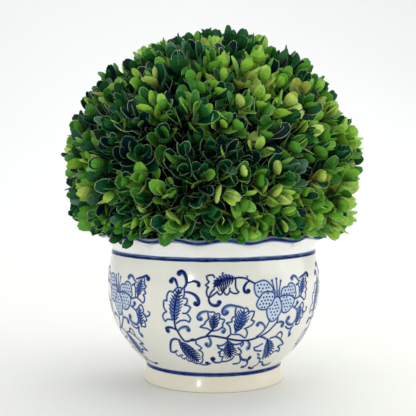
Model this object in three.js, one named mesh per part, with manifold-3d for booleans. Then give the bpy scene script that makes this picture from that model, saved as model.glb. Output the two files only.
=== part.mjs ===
// A clipped box ball growing in a round blue and white bowl, small enough for a table.
// Millimetres, +Z up. The origin is the middle of the pot's foot, on the surface that it
// stands on, and the front of the pot faces -Y. Angles round the pot count from the front
// towards +X.
import * as THREE from "three";
import { mergeVertices } from "three/addons/utils/BufferGeometryUtils.js";
import Module from "manifold-3d";

// Driving dimensions of the pot
const FOOT_RADIUS = 52.7;
const FOOT_TOP_RADIUS = 50.9;
const FOOT_HEIGHT = 12.9;
const FOOT_RING_INNER_RADIUS = 44.5;
const FOOT_ROUND = 0.8;
const RECESS_DEPTH = 3.5;
const BELLY_RADIUS = 79.6;
const BELLY_HEIGHT = 73;
const BELLY_DROP = 76.5;
const BELLY_RISE = 90;
const SHOULDER_HEIGHT = 98.5;
const WALL = 4.2;
const FLOOR_TOP = 9;
const INNER_WALL_STEPS = 6;
const LIP_RADIUS = 85.5;
const LIP_UNDERSIDE = 110;
const LIP_TOP = 112.6;
const LIP_THICKNESS = 3.4;
const SCALLOPS = 15;
const SCALLOP_DROP = 1.4;
const SCALLOP_BULGE = 1.2;
const SCALLOP_LOW_ANGLE = -7.1;

// Driving dimensions of the plant
const SOIL_MOUND = 2;
const STEM_RADIUS = 6.5;
const STEM_TIP_RADIUS = 3.6;
const STEM_FLARE = 4;
const STEM_FLARE_HEIGHT = 9;
const STEM_TIP = 158;
const STEM_LEAN = 5;
const CROWN_RADIUS = 110;
const CROWN_CENTRE = 158;
const CROWN_TOP = 262;
const CROWN_SKIRT = 110.5;
const CROWN_SKIRT_SWING = 1.5;
const CROWN_SEAT = 104;
const BROAD_LUMPS = { count: 30, height: 2.6, spread: 0.4 };
const SMALL_LUMPS = { count: 170, height: 2.6, spread: 0.14 };
const CLEARANCE = 0.35;

// Mesh finenesses
const POT_SEGMENTS = 75;
const SOIL_SEGMENTS = 36;
const STEM_SEGMENTS = 14;
const CROWN_DETAIL = 12;

const wasm = await Module();
wasm.setup();

// A closed geometry as a solid, without the flat triangles that a point on the axis leaves.
function toSolid(geometry) {
  const bare = geometry.clone();
  bare.deleteAttribute("normal");
  bare.deleteAttribute("uv");
  const merged = mergeVertices(bare, 1e-4);
  const kept = [];
  const index = merged.index.array;
  for (let i = 0; i < index.length; i += 3) {
    const [a, b, c] = [index[i], index[i + 1], index[i + 2]];
    if (a !== b && b !== c && c !== a) kept.push(a, b, c);
  }
  return new wasm.Manifold(
    new wasm.Mesh({
      numProp: 3,
      vertProperties: new Float32Array(merged.attributes.position.array),
      triVerts: new Uint32Array(kept),
    }),
  );
}

// A solid back as a geometry.
function toGeometry(solid) {
  const mesh = solid.getMesh();
  const geometry = new THREE.BufferGeometry();
  geometry.setAttribute("position", new THREE.BufferAttribute(mesh.vertProperties, 3));
  geometry.setIndex(new THREE.BufferAttribute(mesh.triVerts, 1));
  geometry.computeVertexNormals();
  return geometry;
}

// A profile of [radius, height] pairs turned round the Z axis.
function turned(profile, segments) {
  const points = profile.map(([radius, height]) => new THREE.Vector2(radius, height));
  return new THREE.LatheGeometry(points, segments).rotateX(Math.PI / 2);
}

// Moves every vertex of a geometry by a function of its place.
function reshape(geometry, move) {
  const place = geometry.attributes.position;
  const point = new THREE.Vector3();
  for (let i = 0; i < place.count; i++) {
    point.fromBufferAttribute(place, i);
    move(point);
    place.setXYZ(i, point.x, point.y, point.z);
  }
  return geometry;
}

// A repeatable series of numbers from 0 to 1.
function series(seed) {
  let state = seed;
  return () => {
    state = (state * 48271) % 2147483647;
    return state / 2147483647;
  };
}

// The radius of the bowl's wall at a height, outside it or inset from it.
function bowlRadius(height, inset) {
  const reach = (height < BELLY_HEIGHT ? BELLY_DROP : BELLY_RISE) - inset;
  const share = (height - BELLY_HEIGHT) / reach;
  return (BELLY_RADIUS - inset) * Math.sqrt(Math.max(0, 1 - share * share));
}

// Bowl-wall points from one height to another.
function bowlWall(from, to, steps, inset) {
  const points = [];
  for (let i = 0; i <= steps; i++) {
    const height = from + ((to - from) * i) / steps;
    points.push([bowlRadius(height, inset), height]);
  }
  return points;
}

// The waved rim: the neck swings down and out at each scallop, more towards the lip.
function scallop(point) {
  const share = (point.z - SHOULDER_HEIGHT) / (LIP_UNDERSIDE - SHOULDER_HEIGHT);
  const radius = Math.hypot(point.x, point.y);
  if (share <= 0 || radius < BELLY_RADIUS - 2 * WALL) return;
  const angle = Math.atan2(point.x, -point.y);
  const weight = Math.min(1, share) ** 1.5;
  const low = THREE.MathUtils.degToRad(SCALLOP_LOW_ANGLE);
  const wave = Math.cos(SCALLOPS * (angle - low)) * weight;
  const factor = (radius + SCALLOP_BULGE * wave) / radius;
  point.set(point.x * factor, point.y * factor, point.z - SCALLOP_DROP * wave);
}

// Pot: foot ring with a recess under it, round bowl, short neck and flared waved lip
function makePot() {
  const foot = [
    [0, RECESS_DEPTH],
    [FOOT_RING_INNER_RADIUS - 1.5, RECESS_DEPTH],
    [FOOT_RING_INNER_RADIUS, FOOT_ROUND],
    [FOOT_RING_INNER_RADIUS + FOOT_ROUND, 0],
    [FOOT_RADIUS - FOOT_ROUND, 0],
    [FOOT_RADIUS, FOOT_ROUND],
    [FOOT_TOP_RADIUS, FOOT_HEIGHT],
  ];
  const outside = bowlWall(FOOT_HEIGHT + 3, SHOULDER_HEIGHT, 9, 0);
  const neck = [];
  for (const share of [0.4, 0.75, 1]) {
    const start = bowlRadius(SHOULDER_HEIGHT, 0);
    const radius = start + (LIP_RADIUS - start) * share ** 2.2;
    neck.push([radius, SHOULDER_HEIGHT + (LIP_UNDERSIDE - SHOULDER_HEIGHT) * share]);
  }
  const lip = [
    [LIP_RADIUS - 0.3, LIP_TOP - 0.9],
    [LIP_RADIUS - 1.4, LIP_TOP],
    [LIP_RADIUS - LIP_THICKNESS, LIP_TOP - 0.3],
    [LIP_RADIUS - LIP_THICKNESS - 6, LIP_TOP - 7],
  ];
  const inside = bowlWall(SHOULDER_HEIGHT, FLOOR_TOP + 3, INNER_WALL_STEPS, WALL);
  const floor = [
    [bowlRadius(FLOOR_TOP, WALL) - 3, FLOOR_TOP],
    [0, FLOOR_TOP],
  ];
  const profile = [...foot, ...outside, ...neck, ...lip, ...inside, ...floor];
  return reshape(turned(profile, POT_SEGMENTS), scallop);
}

// Soil: fills the bowl to the shoulder and rises a little to the stem
function makeSoil() {
  const under = FLOOR_TOP + CLEARANCE;
  const profile = [[0, under], [bowlRadius(FLOOR_TOP, WALL) - 5, under]];
  const wall = bowlWall(FLOOR_TOP + 3, SHOULDER_HEIGHT, INNER_WALL_STEPS, WALL);
  for (const [radius, height] of wall) {
    profile.push([radius - 2 * CLEARANCE, height]);
  }
  for (const share of [0.75, 0.45, 0.2, 0]) {
    const radius = bowlRadius(SHOULDER_HEIGHT, WALL) * share;
    profile.push([radius, SHOULDER_HEIGHT + SOIL_MOUND * (1 - share) ** 0.5]);
  }
  return turned(profile, SOIL_SEGMENTS);
}

// Stem: a flat cut on the soil, a root flare, then a slow taper with a slight lean. A
// larger grow gives the room that the crown leaves round it.
function makeStem(grow) {
  const base = SHOULDER_HEIGHT + SOIL_MOUND + CLEARANCE - grow;
  const tip = STEM_TIP + grow;
  const profile = [[0, base]];
  const steps = 9;
  for (let i = 0; i <= steps; i++) {
    const height = base + (tip - base) * (i / steps) ** 1.4;
    const share = (height - base) / (tip - base);
    const flare = STEM_FLARE * Math.exp(-(height - base) / STEM_FLARE_HEIGHT);
    const taper = STEM_RADIUS + (STEM_TIP_RADIUS - STEM_RADIUS) * share;
    profile.push([taper + flare + grow, height]);
  }
  profile.push([0, tip]);
  return reshape(turned(profile, STEM_SEGMENTS), (point) => {
    const angle = Math.atan2(point.y, point.x);
    const share = THREE.MathUtils.clamp((point.z - base) / (tip - base), 0, 1);
    const ridge = 1 + 0.07 * Math.cos(3 * angle + 2 * share) * (1 - share);
    point.x = point.x * ridge + STEM_LEAN * share ** 1.5;
    point.y = point.y * ridge - 0.4 * STEM_LEAN * share;
  });
}

// The directions and heights of the crown's lumps and hollows, spread evenly over the ball.
function crownLumps() {
  const random = series(3270547);
  const lumps = [];
  for (const { count, height, spread } of [BROAD_LUMPS, SMALL_LUMPS]) {
    for (let i = 0; i < count; i++) {
      const up = 1 - (2 * (i + 0.5)) / count;
      const turn = i * Math.PI * (3 - Math.sqrt(5)) + 0.5 * random();
      const flat = Math.sqrt(1 - up * up);
      const way = new THREE.Vector3(flat * Math.cos(turn), flat * Math.sin(turn), up);
      lumps.push({ way, height: height * (2 * random() - 1), spread });
    }
  }
  return lumps;
}

// The space under the crown: it hangs a little lower beside the pot than before and behind
// it, clears the rim, and reaches down into the pot's mouth.
function makeSpaceBelow() {
  const room = CLEARANCE + SCALLOP_BULGE;
  const mouth = LIP_RADIUS - LIP_THICKNESS - room - 1;
  const below = [
    [0, -10],
    [1.3 * CROWN_RADIUS, -10],
    [1.3 * CROWN_RADIUS, CROWN_SKIRT],
    [LIP_RADIUS + room + 0.4, CROWN_SKIRT],
    [LIP_RADIUS + room, LIP_TOP + SCALLOP_DROP + CLEARANCE],
    [mouth, LIP_TOP + SCALLOP_DROP + CLEARANCE],
    [mouth - 8, CROWN_SEAT],
    [0, CROWN_SEAT],
  ];
  return reshape(turned(below, POT_SEGMENTS), (point) => {
    const angle = Math.atan2(point.x, -point.y);
    const outside = Math.hypot(point.x, point.y) > LIP_RADIUS + room + 0.1;
    if (outside) point.z += CROWN_SKIRT_SWING * Math.cos(2 * angle);
  });
}

// Crown: one clipped ball of leaves, a little uneven, cut flat underneath and round the
// rim and the stem
function makeCrown() {
  const lumps = crownLumps();
  const ball = new THREE.IcosahedronGeometry(1, CROWN_DETAIL);
  reshape(ball, (point) => {
    point.normalize();
    let radius = CROWN_RADIUS;
    for (const { way, height, spread } of lumps) {
      const apart = point.angleTo(way) / spread;
      radius += height * Math.exp(-apart * apart);
    }
    point.multiplyScalar(radius);
  });
  ball.computeBoundingBox();
  const { min, max } = ball.boundingBox;
  const across = (2 * CROWN_RADIUS) / (max.x - min.x);
  const deep = (2 * CROWN_RADIUS) / (max.y - min.y);
  ball.translate(-(min.x + max.x) / 2, -(min.y + max.y) / 2, 0);
  ball.scale(across, deep, (CROWN_TOP - CROWN_CENTRE) / max.z);
  ball.translate(0, 0, CROWN_CENTRE);
  const trimmed = toSolid(ball).subtract(toSolid(makeSpaceBelow()));
  return toGeometry(trimmed.subtract(toSolid(makeStem(1.6 * CLEARANCE))));
}

const glaze = new THREE.MeshStandardMaterial({ color: 0xeeeae0, roughness: 0.15, metalness: 0 });
const earth = new THREE.MeshStandardMaterial({ color: 0x3a2a1d, roughness: 0.95, metalness: 0 });
const bark = new THREE.MeshStandardMaterial({ color: 0x6b5a45, roughness: 0.85, metalness: 0 });
const leaf = new THREE.MeshStandardMaterial({ color: 0x3c6b1f, roughness: 0.55, metalness: 0 });

const plant = new THREE.Group();

function addPiece(name, geometry, material) {
  const mesh = new THREE.Mesh(geometry, material);
  mesh.name = name;
  plant.add(mesh);
}

addPiece("pot", toGeometry(toSolid(makePot())), glaze);
addPiece("soil", toGeometry(toSolid(makeSoil())), earth);
addPiece("stem", toGeometry(toSolid(makeStem(0))), bark);
addPiece("crown", makeCrown(), leaf);

export default plant;
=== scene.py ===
# Looks of a clipped box ball in its glazed bowl pot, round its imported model.
# The frame is in metres. The sizes below are in millimetres, as the pot's own are.
import math

import bpy
import numpy as np
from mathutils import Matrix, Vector
from mathutils.bvhtree import BVHTree


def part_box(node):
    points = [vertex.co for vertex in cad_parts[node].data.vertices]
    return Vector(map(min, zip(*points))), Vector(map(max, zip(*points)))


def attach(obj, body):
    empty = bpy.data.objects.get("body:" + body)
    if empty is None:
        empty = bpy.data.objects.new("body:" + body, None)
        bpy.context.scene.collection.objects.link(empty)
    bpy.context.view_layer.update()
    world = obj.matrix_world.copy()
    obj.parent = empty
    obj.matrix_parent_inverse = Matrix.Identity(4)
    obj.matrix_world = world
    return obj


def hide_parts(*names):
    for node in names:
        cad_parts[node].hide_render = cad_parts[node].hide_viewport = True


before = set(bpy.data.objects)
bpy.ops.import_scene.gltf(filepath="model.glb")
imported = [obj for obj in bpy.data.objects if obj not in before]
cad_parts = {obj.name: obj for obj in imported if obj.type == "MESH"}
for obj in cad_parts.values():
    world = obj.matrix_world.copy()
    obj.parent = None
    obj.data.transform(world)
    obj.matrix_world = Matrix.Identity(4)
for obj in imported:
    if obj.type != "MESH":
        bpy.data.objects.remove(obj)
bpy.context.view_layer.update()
MM = 0.001

# Camera, at the photograph's viewing angle
CAMERA_DISTANCE = 750
CAMERA_HEIGHT = 171.6
CAMERA_PITCH = 0.0573
CAMERA_YAW = 0.0057
FOCAL_PIXELS = 996
IMAGE_PIXELS = 416
SENSOR = 36

# Pot
FOOT_RADIUS = 52.7
FOOT_TOP_RADIUS = 50.9
FOOT_HEIGHT = 12.9
FOOT_RING_INNER = 45.3
FOOT_FLARE = 1.3
# The foot's rounded lower edge, as inward from its radius and up, and where its side starts
FOOT_EDGE = ((0.8, 0), (0.25, 0.2), (0, 0.8))
FOOT_START = 1.6
RECESS_DEPTH = 3.5
RECESS_ROUND = 2
BELLY_RADIUS = 79.6
BELLY_HEIGHT = 73
BELLY_DROP = 76.5
BELLY_RISE = 90
SHOULDER_HEIGHT = 98.5
SHOULDER_LINE = 97.6
SHOULDER_ROUND = 2.2
NECK_POWER = 2.2
NECK_END = 0.97
WALL = 4.2
FLOOR_TOP = 9
INNER_ROUND = 3
LIP_RADIUS = 85.5
LIP_UNDERSIDE = 110
LIP_TOP = 112.6
LIP_ROUND = 1.9
LIP_ARC = (-25, 90)
# The inside of the lip, as inward from its radius and down from its top
INNER_LIP = ((3, 0.5), (3.6, 1.4), (6.4, 4), (9.6, 7.4))
SCALLOPS = 15
SCALLOP_DROP = 1.05
SCALLOP_BULGE = 1.2
SCALLOP_LOW = math.radians(-7.1)
SCALLOP_POWER = 1.5
AXIS_RADIUS = 0.01
# How finely the pot is turned, and how many rows each stretch of its profile has
POT_TURNS = 375
FOOT_ROWS, WALL_ROWS, NECK_ROWS, LIP_ROWS, INNER_ROWS = 12, 66, 22, 9, 12

# Crown
CROWN_CENTRE = 158
CROWN_RADIUS = 110
STEM_FOOT = 100.85
STEM_TOP = 158
# A little less than a full turn, for a random start of a wave
ANY_TURN = 6.28
# A seed for each thing that is spread at random
SEEDS = {"bands": 3, "dots": 344, "bark": 41, "crown": 20, "sprigs": 5, "boughs": 6, "limbs": 7,
         "clumps": 11, "soil": 8}


def rng(seed):
    return np.random.default_rng(seed)


def smoothstep(low, high, value):
    share = np.clip((value - low) / (high - low), 0, 1)
    return share * share * (3 - 2 * share)


def unit(vectors):
    return vectors / np.linalg.norm(vectors, axis=-1, keepdims=True)


def length_along(line):
    """How far each point of a line is from its start."""
    return np.concatenate([[0], np.cumsum(np.linalg.norm(np.diff(line, axis=0), axis=1))])


# Meshes
def mesh_piece(name, points, faces, materials, face_materials=None):
    """A smooth mesh object from points in millimetres and an array of faces of one size."""
    points = np.asarray(points, np.float32).reshape(-1, 3) * MM
    faces = np.asarray(faces, np.int32)
    count, corners = faces.shape
    mesh = bpy.data.meshes.new(name)
    mesh.vertices.add(len(points))
    mesh.vertices.foreach_set("co", points.ravel())
    mesh.loops.add(count * corners)
    mesh.loops.foreach_set("vertex_index", faces.ravel())
    mesh.polygons.add(count)
    mesh.polygons.foreach_set("loop_start", np.arange(count, dtype=np.int32) * corners)
    mesh.polygons.foreach_set("use_smooth", np.full(count, True))
    for material in materials:
        mesh.materials.append(material)
    if face_materials is not None:
        mesh.polygons.foreach_set("material_index", np.asarray(face_materials, np.int32))
    mesh.update(calc_edges=True)
    mesh.validate()
    return placed(name, mesh)


def placed(name, data):
    """A new object in the scene."""
    made = bpy.data.objects.new(name, data)
    bpy.context.scene.collection.objects.link(made)
    return made


def turned_faces(turns, rows):
    """Quads of a turned profile: its points run row by row, then turn by turn."""
    i, j = np.indices((turns, rows - 1))
    here, beside = i * rows + j, (i + 1) % turns * rows + j
    return np.stack([here, beside, beside + 1, here + 1], -1).reshape(-1, 4)


def stacked_faces(rows, sides):
    """Quads between closed rings of points, one ring after the other."""
    i, j = np.indices((rows - 1, sides))
    here, beside = i * sides + j, i * sides + (j + 1) % sides
    return np.stack([here, beside, beside + sides, here + sides], -1).reshape(-1, 4)


# Materials
def linear(red, green, blue):
    """A screen colour of 0 to 255 as the shader's linear one."""
    parts = []
    for value in (red, green, blue):
        share = value / 255
        parts.append(share / 12.92 if share <= 0.04045 else ((share + 0.055) / 1.055) ** 2.4)
    return (*parts, 1.0)


def new_material(name, colour, roughness, specular=0.5, coat=0.0, coat_roughness=0.05):
    material = bpy.data.materials.new(name)
    material.use_nodes = True
    inputs = material.node_tree.nodes["Principled BSDF"].inputs
    inputs["Base Color"].default_value = colour
    inputs["Roughness"].default_value = roughness
    inputs["Specular IOR Level"].default_value = specular
    inputs["Coat Weight"].default_value = coat
    inputs["Coat Roughness"].default_value = coat_roughness
    return material


def node(material, kind, **sockets):
    made = material.node_tree.nodes.new(kind)
    for key, value in sockets.items():
        if key in made.inputs:
            made.inputs[key].default_value = value
        else:
            setattr(made, key, value)
    return made


def link(material, source, target):
    material.node_tree.links.new(source, target)


def maths(material, operation, *values):
    """The result of a Math node that is fed by sockets and numbers."""
    made = node(material, "ShaderNodeMath", operation=operation)
    for value, target in zip(values, made.inputs):
        if isinstance(value, bpy.types.NodeSocket):
            link(material, value, target)
        else:
            target.default_value = value
    return made.outputs[0]


def speckle(material, scale, detail=2.0, stretch=None):
    """Noise over the object, as a socket. Stretch is a scale for each axis."""
    source = node(material, "ShaderNodeTexCoord").outputs["Object"]
    if stretch:
        turned = node(material, "ShaderNodeMapping", Scale=stretch)
        link(material, source, turned.inputs["Vector"])
        source = turned.outputs["Vector"]
    noise = node(material, "ShaderNodeTexNoise", Scale=scale, Detail=detail)
    link(material, source, noise.inputs["Vector"])
    return noise.outputs["Fac"]


def spread_to(material, source, low, high, start=0.35, end=0.65):
    """A value taken from one range to another."""
    ranged = node(material, "ShaderNodeMapRange", **{"From Min": start, "From Max": end,
                                                     "To Min": low, "To Max": high})
    link(material, source, ranged.inputs["Value"])
    return ranged.outputs["Result"]


def mottle(material, factor, second):
    """Mixes a second colour into the base colour, or into what already feeds it."""
    base = material.node_tree.nodes["Principled BSDF"].inputs["Base Color"]
    mix = node(material, "ShaderNodeMix", data_type="RGBA")
    colours = [socket for socket in mix.inputs if socket.type == "RGBA"]
    colours[1].default_value = second
    if base.is_linked:
        link(material, base.links[0].from_socket, colours[0])
    else:
        colours[0].default_value = base.default_value[:]
    link(material, factor, mix.inputs["Factor"])
    link(material, [socket for socket in mix.outputs if socket.type == "RGBA"][0], base)


def relief(material, source, depth):
    """Fine relief of the given depth in millimetres."""
    material.displacement_method = "BUMP"
    made = node(material, "ShaderNodeDisplacement", Midlevel=0.5, Scale=depth * MM)
    link(material, source, made.inputs["Height"])
    out = material.node_tree.nodes["Material Output"]
    link(material, made.outputs["Displacement"], out.inputs["Displacement"])


def glazed(name, colour, pool, speck, roughness=0.12, coat=0.6):
    """Fired glaze: faint pooling of colour, rare specks, uneven gloss and a soft ripple."""
    material = new_material(name, colour, roughness, coat=coat)
    mottle(material, spread_to(material, speckle(material, 16), 0.0, 1.0), pool)
    mottle(material, spread_to(material, speckle(material, 620), 0.0, 0.55, 0.70, 0.76), speck)
    gloss = material.node_tree.nodes["Principled BSDF"].inputs["Roughness"]
    even = gloss.default_value
    link(material, spread_to(material, speckle(material, 45), even * 0.8, even * 1.35), gloss)
    relief(material, speckle(material, 70, 1.0), 0.05)
    return material


def bare_clay():
    """Unglazed clay: a fine grain with darker spots."""
    material = new_material("bare_clay", linear(206, 190, 160), 0.8)
    spots = spread_to(material, speckle(material, 300), 0.0, 0.8)
    mottle(material, spots, linear(176, 154, 120))
    relief(material, speckle(material, 700, 3.0), 0.3)
    return material


def potting_soil():
    """Potting mix: dark and light lumps, pale flecks and a crumbly relief."""
    material = new_material("potting_soil", linear(66, 50, 37), 0.95)
    lumps = spread_to(material, speckle(material, 420, 4.0), 0.0, 1.0)
    mottle(material, lumps, linear(30, 22, 16))
    flecks = spread_to(material, speckle(material, 900), 0.0, 0.8, 0.66, 0.72)
    mottle(material, flecks, linear(140, 122, 98))
    relief(material, speckle(material, 800, 4.0), 0.6)
    return material


def barked(name, colour, roughness, dark, pale, scale):
    """Bark: dark furrows along the wood, pale dry patches and a rough grain."""
    material = new_material(name, colour, roughness)
    furrows = speckle(material, scale, 4.0, (1.0, 1.0, 0.22))
    mottle(material, spread_to(material, furrows, 1.0, 0.0, 0.38, 0.58), dark)
    mottle(material, spread_to(material, speckle(material, scale * 0.35), 0.0, 0.6, 0.5, 0.72), pale)
    relief(material, furrows, 0.9)
    return material


def paint(name, colour):
    """Blue under the glaze, thinner and thicker as the brush left it."""
    material = new_material(name, colour, 0.08, specular=0.07)
    mottle(material, spread_to(material, speckle(material, 300, 3.0), 0.0, 0.16), PAINTS["soft"])
    relief(material, speckle(material, 70, 1.0), 0.05)
    return material


# Pot surface
def bowl_radius(height, inset=0.0):
    """The bowl's radius at a height, on its outside or inset from it."""
    height = np.asarray(height, float)
    reach = np.where(height < BELLY_HEIGHT, BELLY_DROP, BELLY_RISE) - inset
    share = (height - BELLY_HEIGHT) / reach
    return (BELLY_RADIUS - inset) * np.sqrt(np.clip(1 - share * share, 0, 1))


def scalloped(radius, height, angle):
    """The waved rim: the neck swings down and out at each scallop, more towards the lip."""
    share = (height - SHOULDER_HEIGHT) / (LIP_UNDERSIDE - SHOULDER_HEIGHT)
    weight = np.clip(share, 0, 1) ** SCALLOP_POWER * (radius > BELLY_RADIUS - 2 * WALL)
    wave = np.cos(SCALLOPS * (angle - SCALLOP_LOW)) * weight
    return radius + SCALLOP_BULGE * wave, height - SCALLOP_DROP * wave


def around(radius, height, angle):
    """Points from a radius, a height and an angle from the front towards +X."""
    return np.stack([radius * np.sin(angle), -radius * np.cos(angle), height], -1)


def shouldered(wall):
    """The wall with its shoulder rounded off by one cubic curve."""
    near = np.flatnonzero(np.abs(wall[:, 1] - SHOULDER_HEIGHT) < SHOULDER_ROUND)
    low, high = near[0] - 1, near[-1] + 1
    slopes = [(wall[k + 1, 0] - wall[k - 1, 0]) / (wall[k + 1, 1] - wall[k - 1, 1])
              for k in (low, high)]
    span = wall[high, 1] - wall[low, 1]
    t = (wall[low:high + 1, 1] - wall[low, 1]) / span
    wall[low:high + 1, 0] = ((2 * t ** 3 - 3 * t ** 2 + 1) * wall[low, 0]
                             + (t ** 3 - 2 * t ** 2 + t) * span * slopes[0]
                             + (3 * t ** 2 - 2 * t ** 3) * wall[high, 0]
                             + (t ** 3 - t ** 2) * span * slopes[1])
    return [tuple(point) for point in wall]


def outer_profile():
    """The pot's outside from the foot to the top of the lip, as radius and height."""
    foot = [(FOOT_RADIUS - inward, up) for inward, up in FOOT_EDGE]
    for height in np.linspace(FOOT_START, FOOT_HEIGHT - 1, FOOT_ROWS):
        share = (height / FOOT_HEIGHT + 2 * smoothstep(0, FOOT_HEIGHT, height)) / 3
        foot.append((FOOT_RADIUS + (FOOT_TOP_RADIUS - FOOT_RADIUS) * share, height))
    foot += [(FOOT_TOP_RADIUS - 0.1, FOOT_HEIGHT - 0.4), (FOOT_TOP_RADIUS, FOOT_HEIGHT + 0.1)]
    heights = np.linspace(FOOT_HEIGHT + 1, SHOULDER_HEIGHT, WALL_ROWS)
    flare = FOOT_TOP_RADIUS - float(bowl_radius(FOOT_HEIGHT))
    flared = flare * np.exp(-(heights - FOOT_HEIGHT) / FOOT_FLARE)
    body = list(zip(bowl_radius(heights) + flared, heights))
    start = float(bowl_radius(SHOULDER_HEIGHT))
    neck = []
    for share in np.linspace(0, NECK_END, NECK_ROWS)[1:]:
        radius = start + (LIP_RADIUS - start) * share ** NECK_POWER
        neck.append((radius, SHOULDER_HEIGHT + (LIP_UNDERSIDE - SHOULDER_HEIGHT) * share))
    lip = []
    for turn in np.radians(np.linspace(*LIP_ARC, LIP_ROWS)):
        lip.append((LIP_RADIUS - LIP_ROUND + 0.1 + LIP_ROUND * math.cos(turn),
                    LIP_TOP - LIP_ROUND + LIP_ROUND * math.sin(turn)))
    return foot + shouldered(np.array(body + neck)) + lip


def inner_profile():
    """The pot's inside, from the lip down to the middle of the floor."""
    points = [(LIP_RADIUS - inward, LIP_TOP - down) for inward, down in INNER_LIP]
    for height in np.linspace(SHOULDER_HEIGHT, FLOOR_TOP + INNER_ROUND, INNER_ROWS):
        points.append((float(bowl_radius(height, WALL)), height))
    floor_radius = float(bowl_radius(FLOOR_TOP, WALL)) - INNER_ROUND
    return points + [(floor_radius, FLOOR_TOP), (AXIS_RADIUS, FLOOR_TOP)]


def make_pot(glaze, cream, bare, neck):
    """The glazed pot, with a cream foot, bare clay under it and a whiter neck, less yellow and also
    brighter as painted light.
    """
    under = [(AXIS_RADIUS, RECESS_DEPTH), (FOOT_RING_INNER - RECESS_ROUND, RECESS_DEPTH)]
    under += [(FOOT_RING_INNER - 0.8, 0.8), (FOOT_RING_INNER, 0)]
    profile = np.array(under + outer_profile() + inner_profile())
    angle = np.linspace(0, math.tau, POT_TURNS, endpoint=False)
    radius, turn = np.meshgrid(profile[:, 0], angle)
    height = np.meshgrid(profile[:, 1], angle)[0]
    points = around(*scalloped(radius, height, turn), turn)
    middle = profile[:-1] + np.diff(profile, axis=0) / 2
    on_foot = (middle[:, 1] < FOOT_HEIGHT) & (middle[:, 0] < FOOT_RADIUS + 0.1)
    on_ring = (middle[:, 1] < 0.5) & (middle[:, 0] > FOOT_RING_INNER - 1)
    on_neck = middle[:, 1] > SHOULDER_LINE
    materials = [glaze, cream, bare, neck]
    places = [materials.index(bare), materials.index(cream), materials.index(neck)]
    kind = np.select([on_ring, on_foot, on_neck], places, materials.index(glaze))
    return mesh_piece("glazed_pot", points, turned_faces(POT_TURNS, len(profile)), materials,
                      np.tile(kind, POT_TURNS))


# Painted pattern. Its points are millimetres along the wall from the panel's middle and
# up from the floor, traced. A third value of 1 marks a sharp corner.
PANEL_TURNS = [0.0, math.radians(-92.6), math.radians(90), math.radians(178.7)]
PAINTS = {"wash": linear(146, 170, 206), "petal": linear(204, 219, 238),
          "halo": linear(174, 188, 208), "soft": linear(100, 126, 174),
          "mid": linear(34, 60, 132), "dark": linear(0, 6, 78)}
# How far each layer of paint stands off the wall
LIFTS = {"wash": 0.03, "petal": 0.036, "halo": 0.045, "soft": 0.053, "mid": 0.065, "dark": 0.085}
# The shapes of one layer are lifted by up to this more, in so many steps, so that none cross
# in one surface
LIFT_STEP, LIFT_STEPS = 0.012, 7
# A stroke or a dab in one of these has a pale edge under it
EDGED = ("dark", "mid", "soft")
SOFT_EDGE = 0.8
# How far apart the rings of a filled shape are
PATCH_STEP = 1.6
# A curl's end and its round dab are fuller than the sizes in its call, by these
FULLER_END, FULLER_DAB = 1.12, 1.2
# A curl's darker side: how far out it lies and how wide it is, as shares of the stroke's width,
# and the same for its dab, as shares of the dab's radius
DARK_SHIFT, DARK_WIDTH, DARK_DAB_SHIFT, DARK_DAB = 0.22, 0.5, 0.2, 0.62
# A feather: the stretch of a half wave that it swells in, the shares of its reach that two
# fills take, their rows and columns, and its spine's width at both ends
SWELL, WIDE_FILL, NARROW_FILL = (0.06, 0.96), 0.95, 0.4
FILL_ROWS, FILL_COLUMNS, SPINE_WIDTHS = 12, 5, (1.3, 0.8)
# Its barbs: where their swell starts and how long it is, where a barb's knee is, outwards and
# along, and how much of its width is left at its tip
BARB_START, BARB_SPAN, KNEE_OUT, KNEE_ALONG, BARB_TIP = 0.12, 0.8, 0.5, 0.28, 0.6
# Widths of a leaf's outline and of the stalk it grows on
OUTLINE = 0.95
STALK = 1.25


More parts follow.
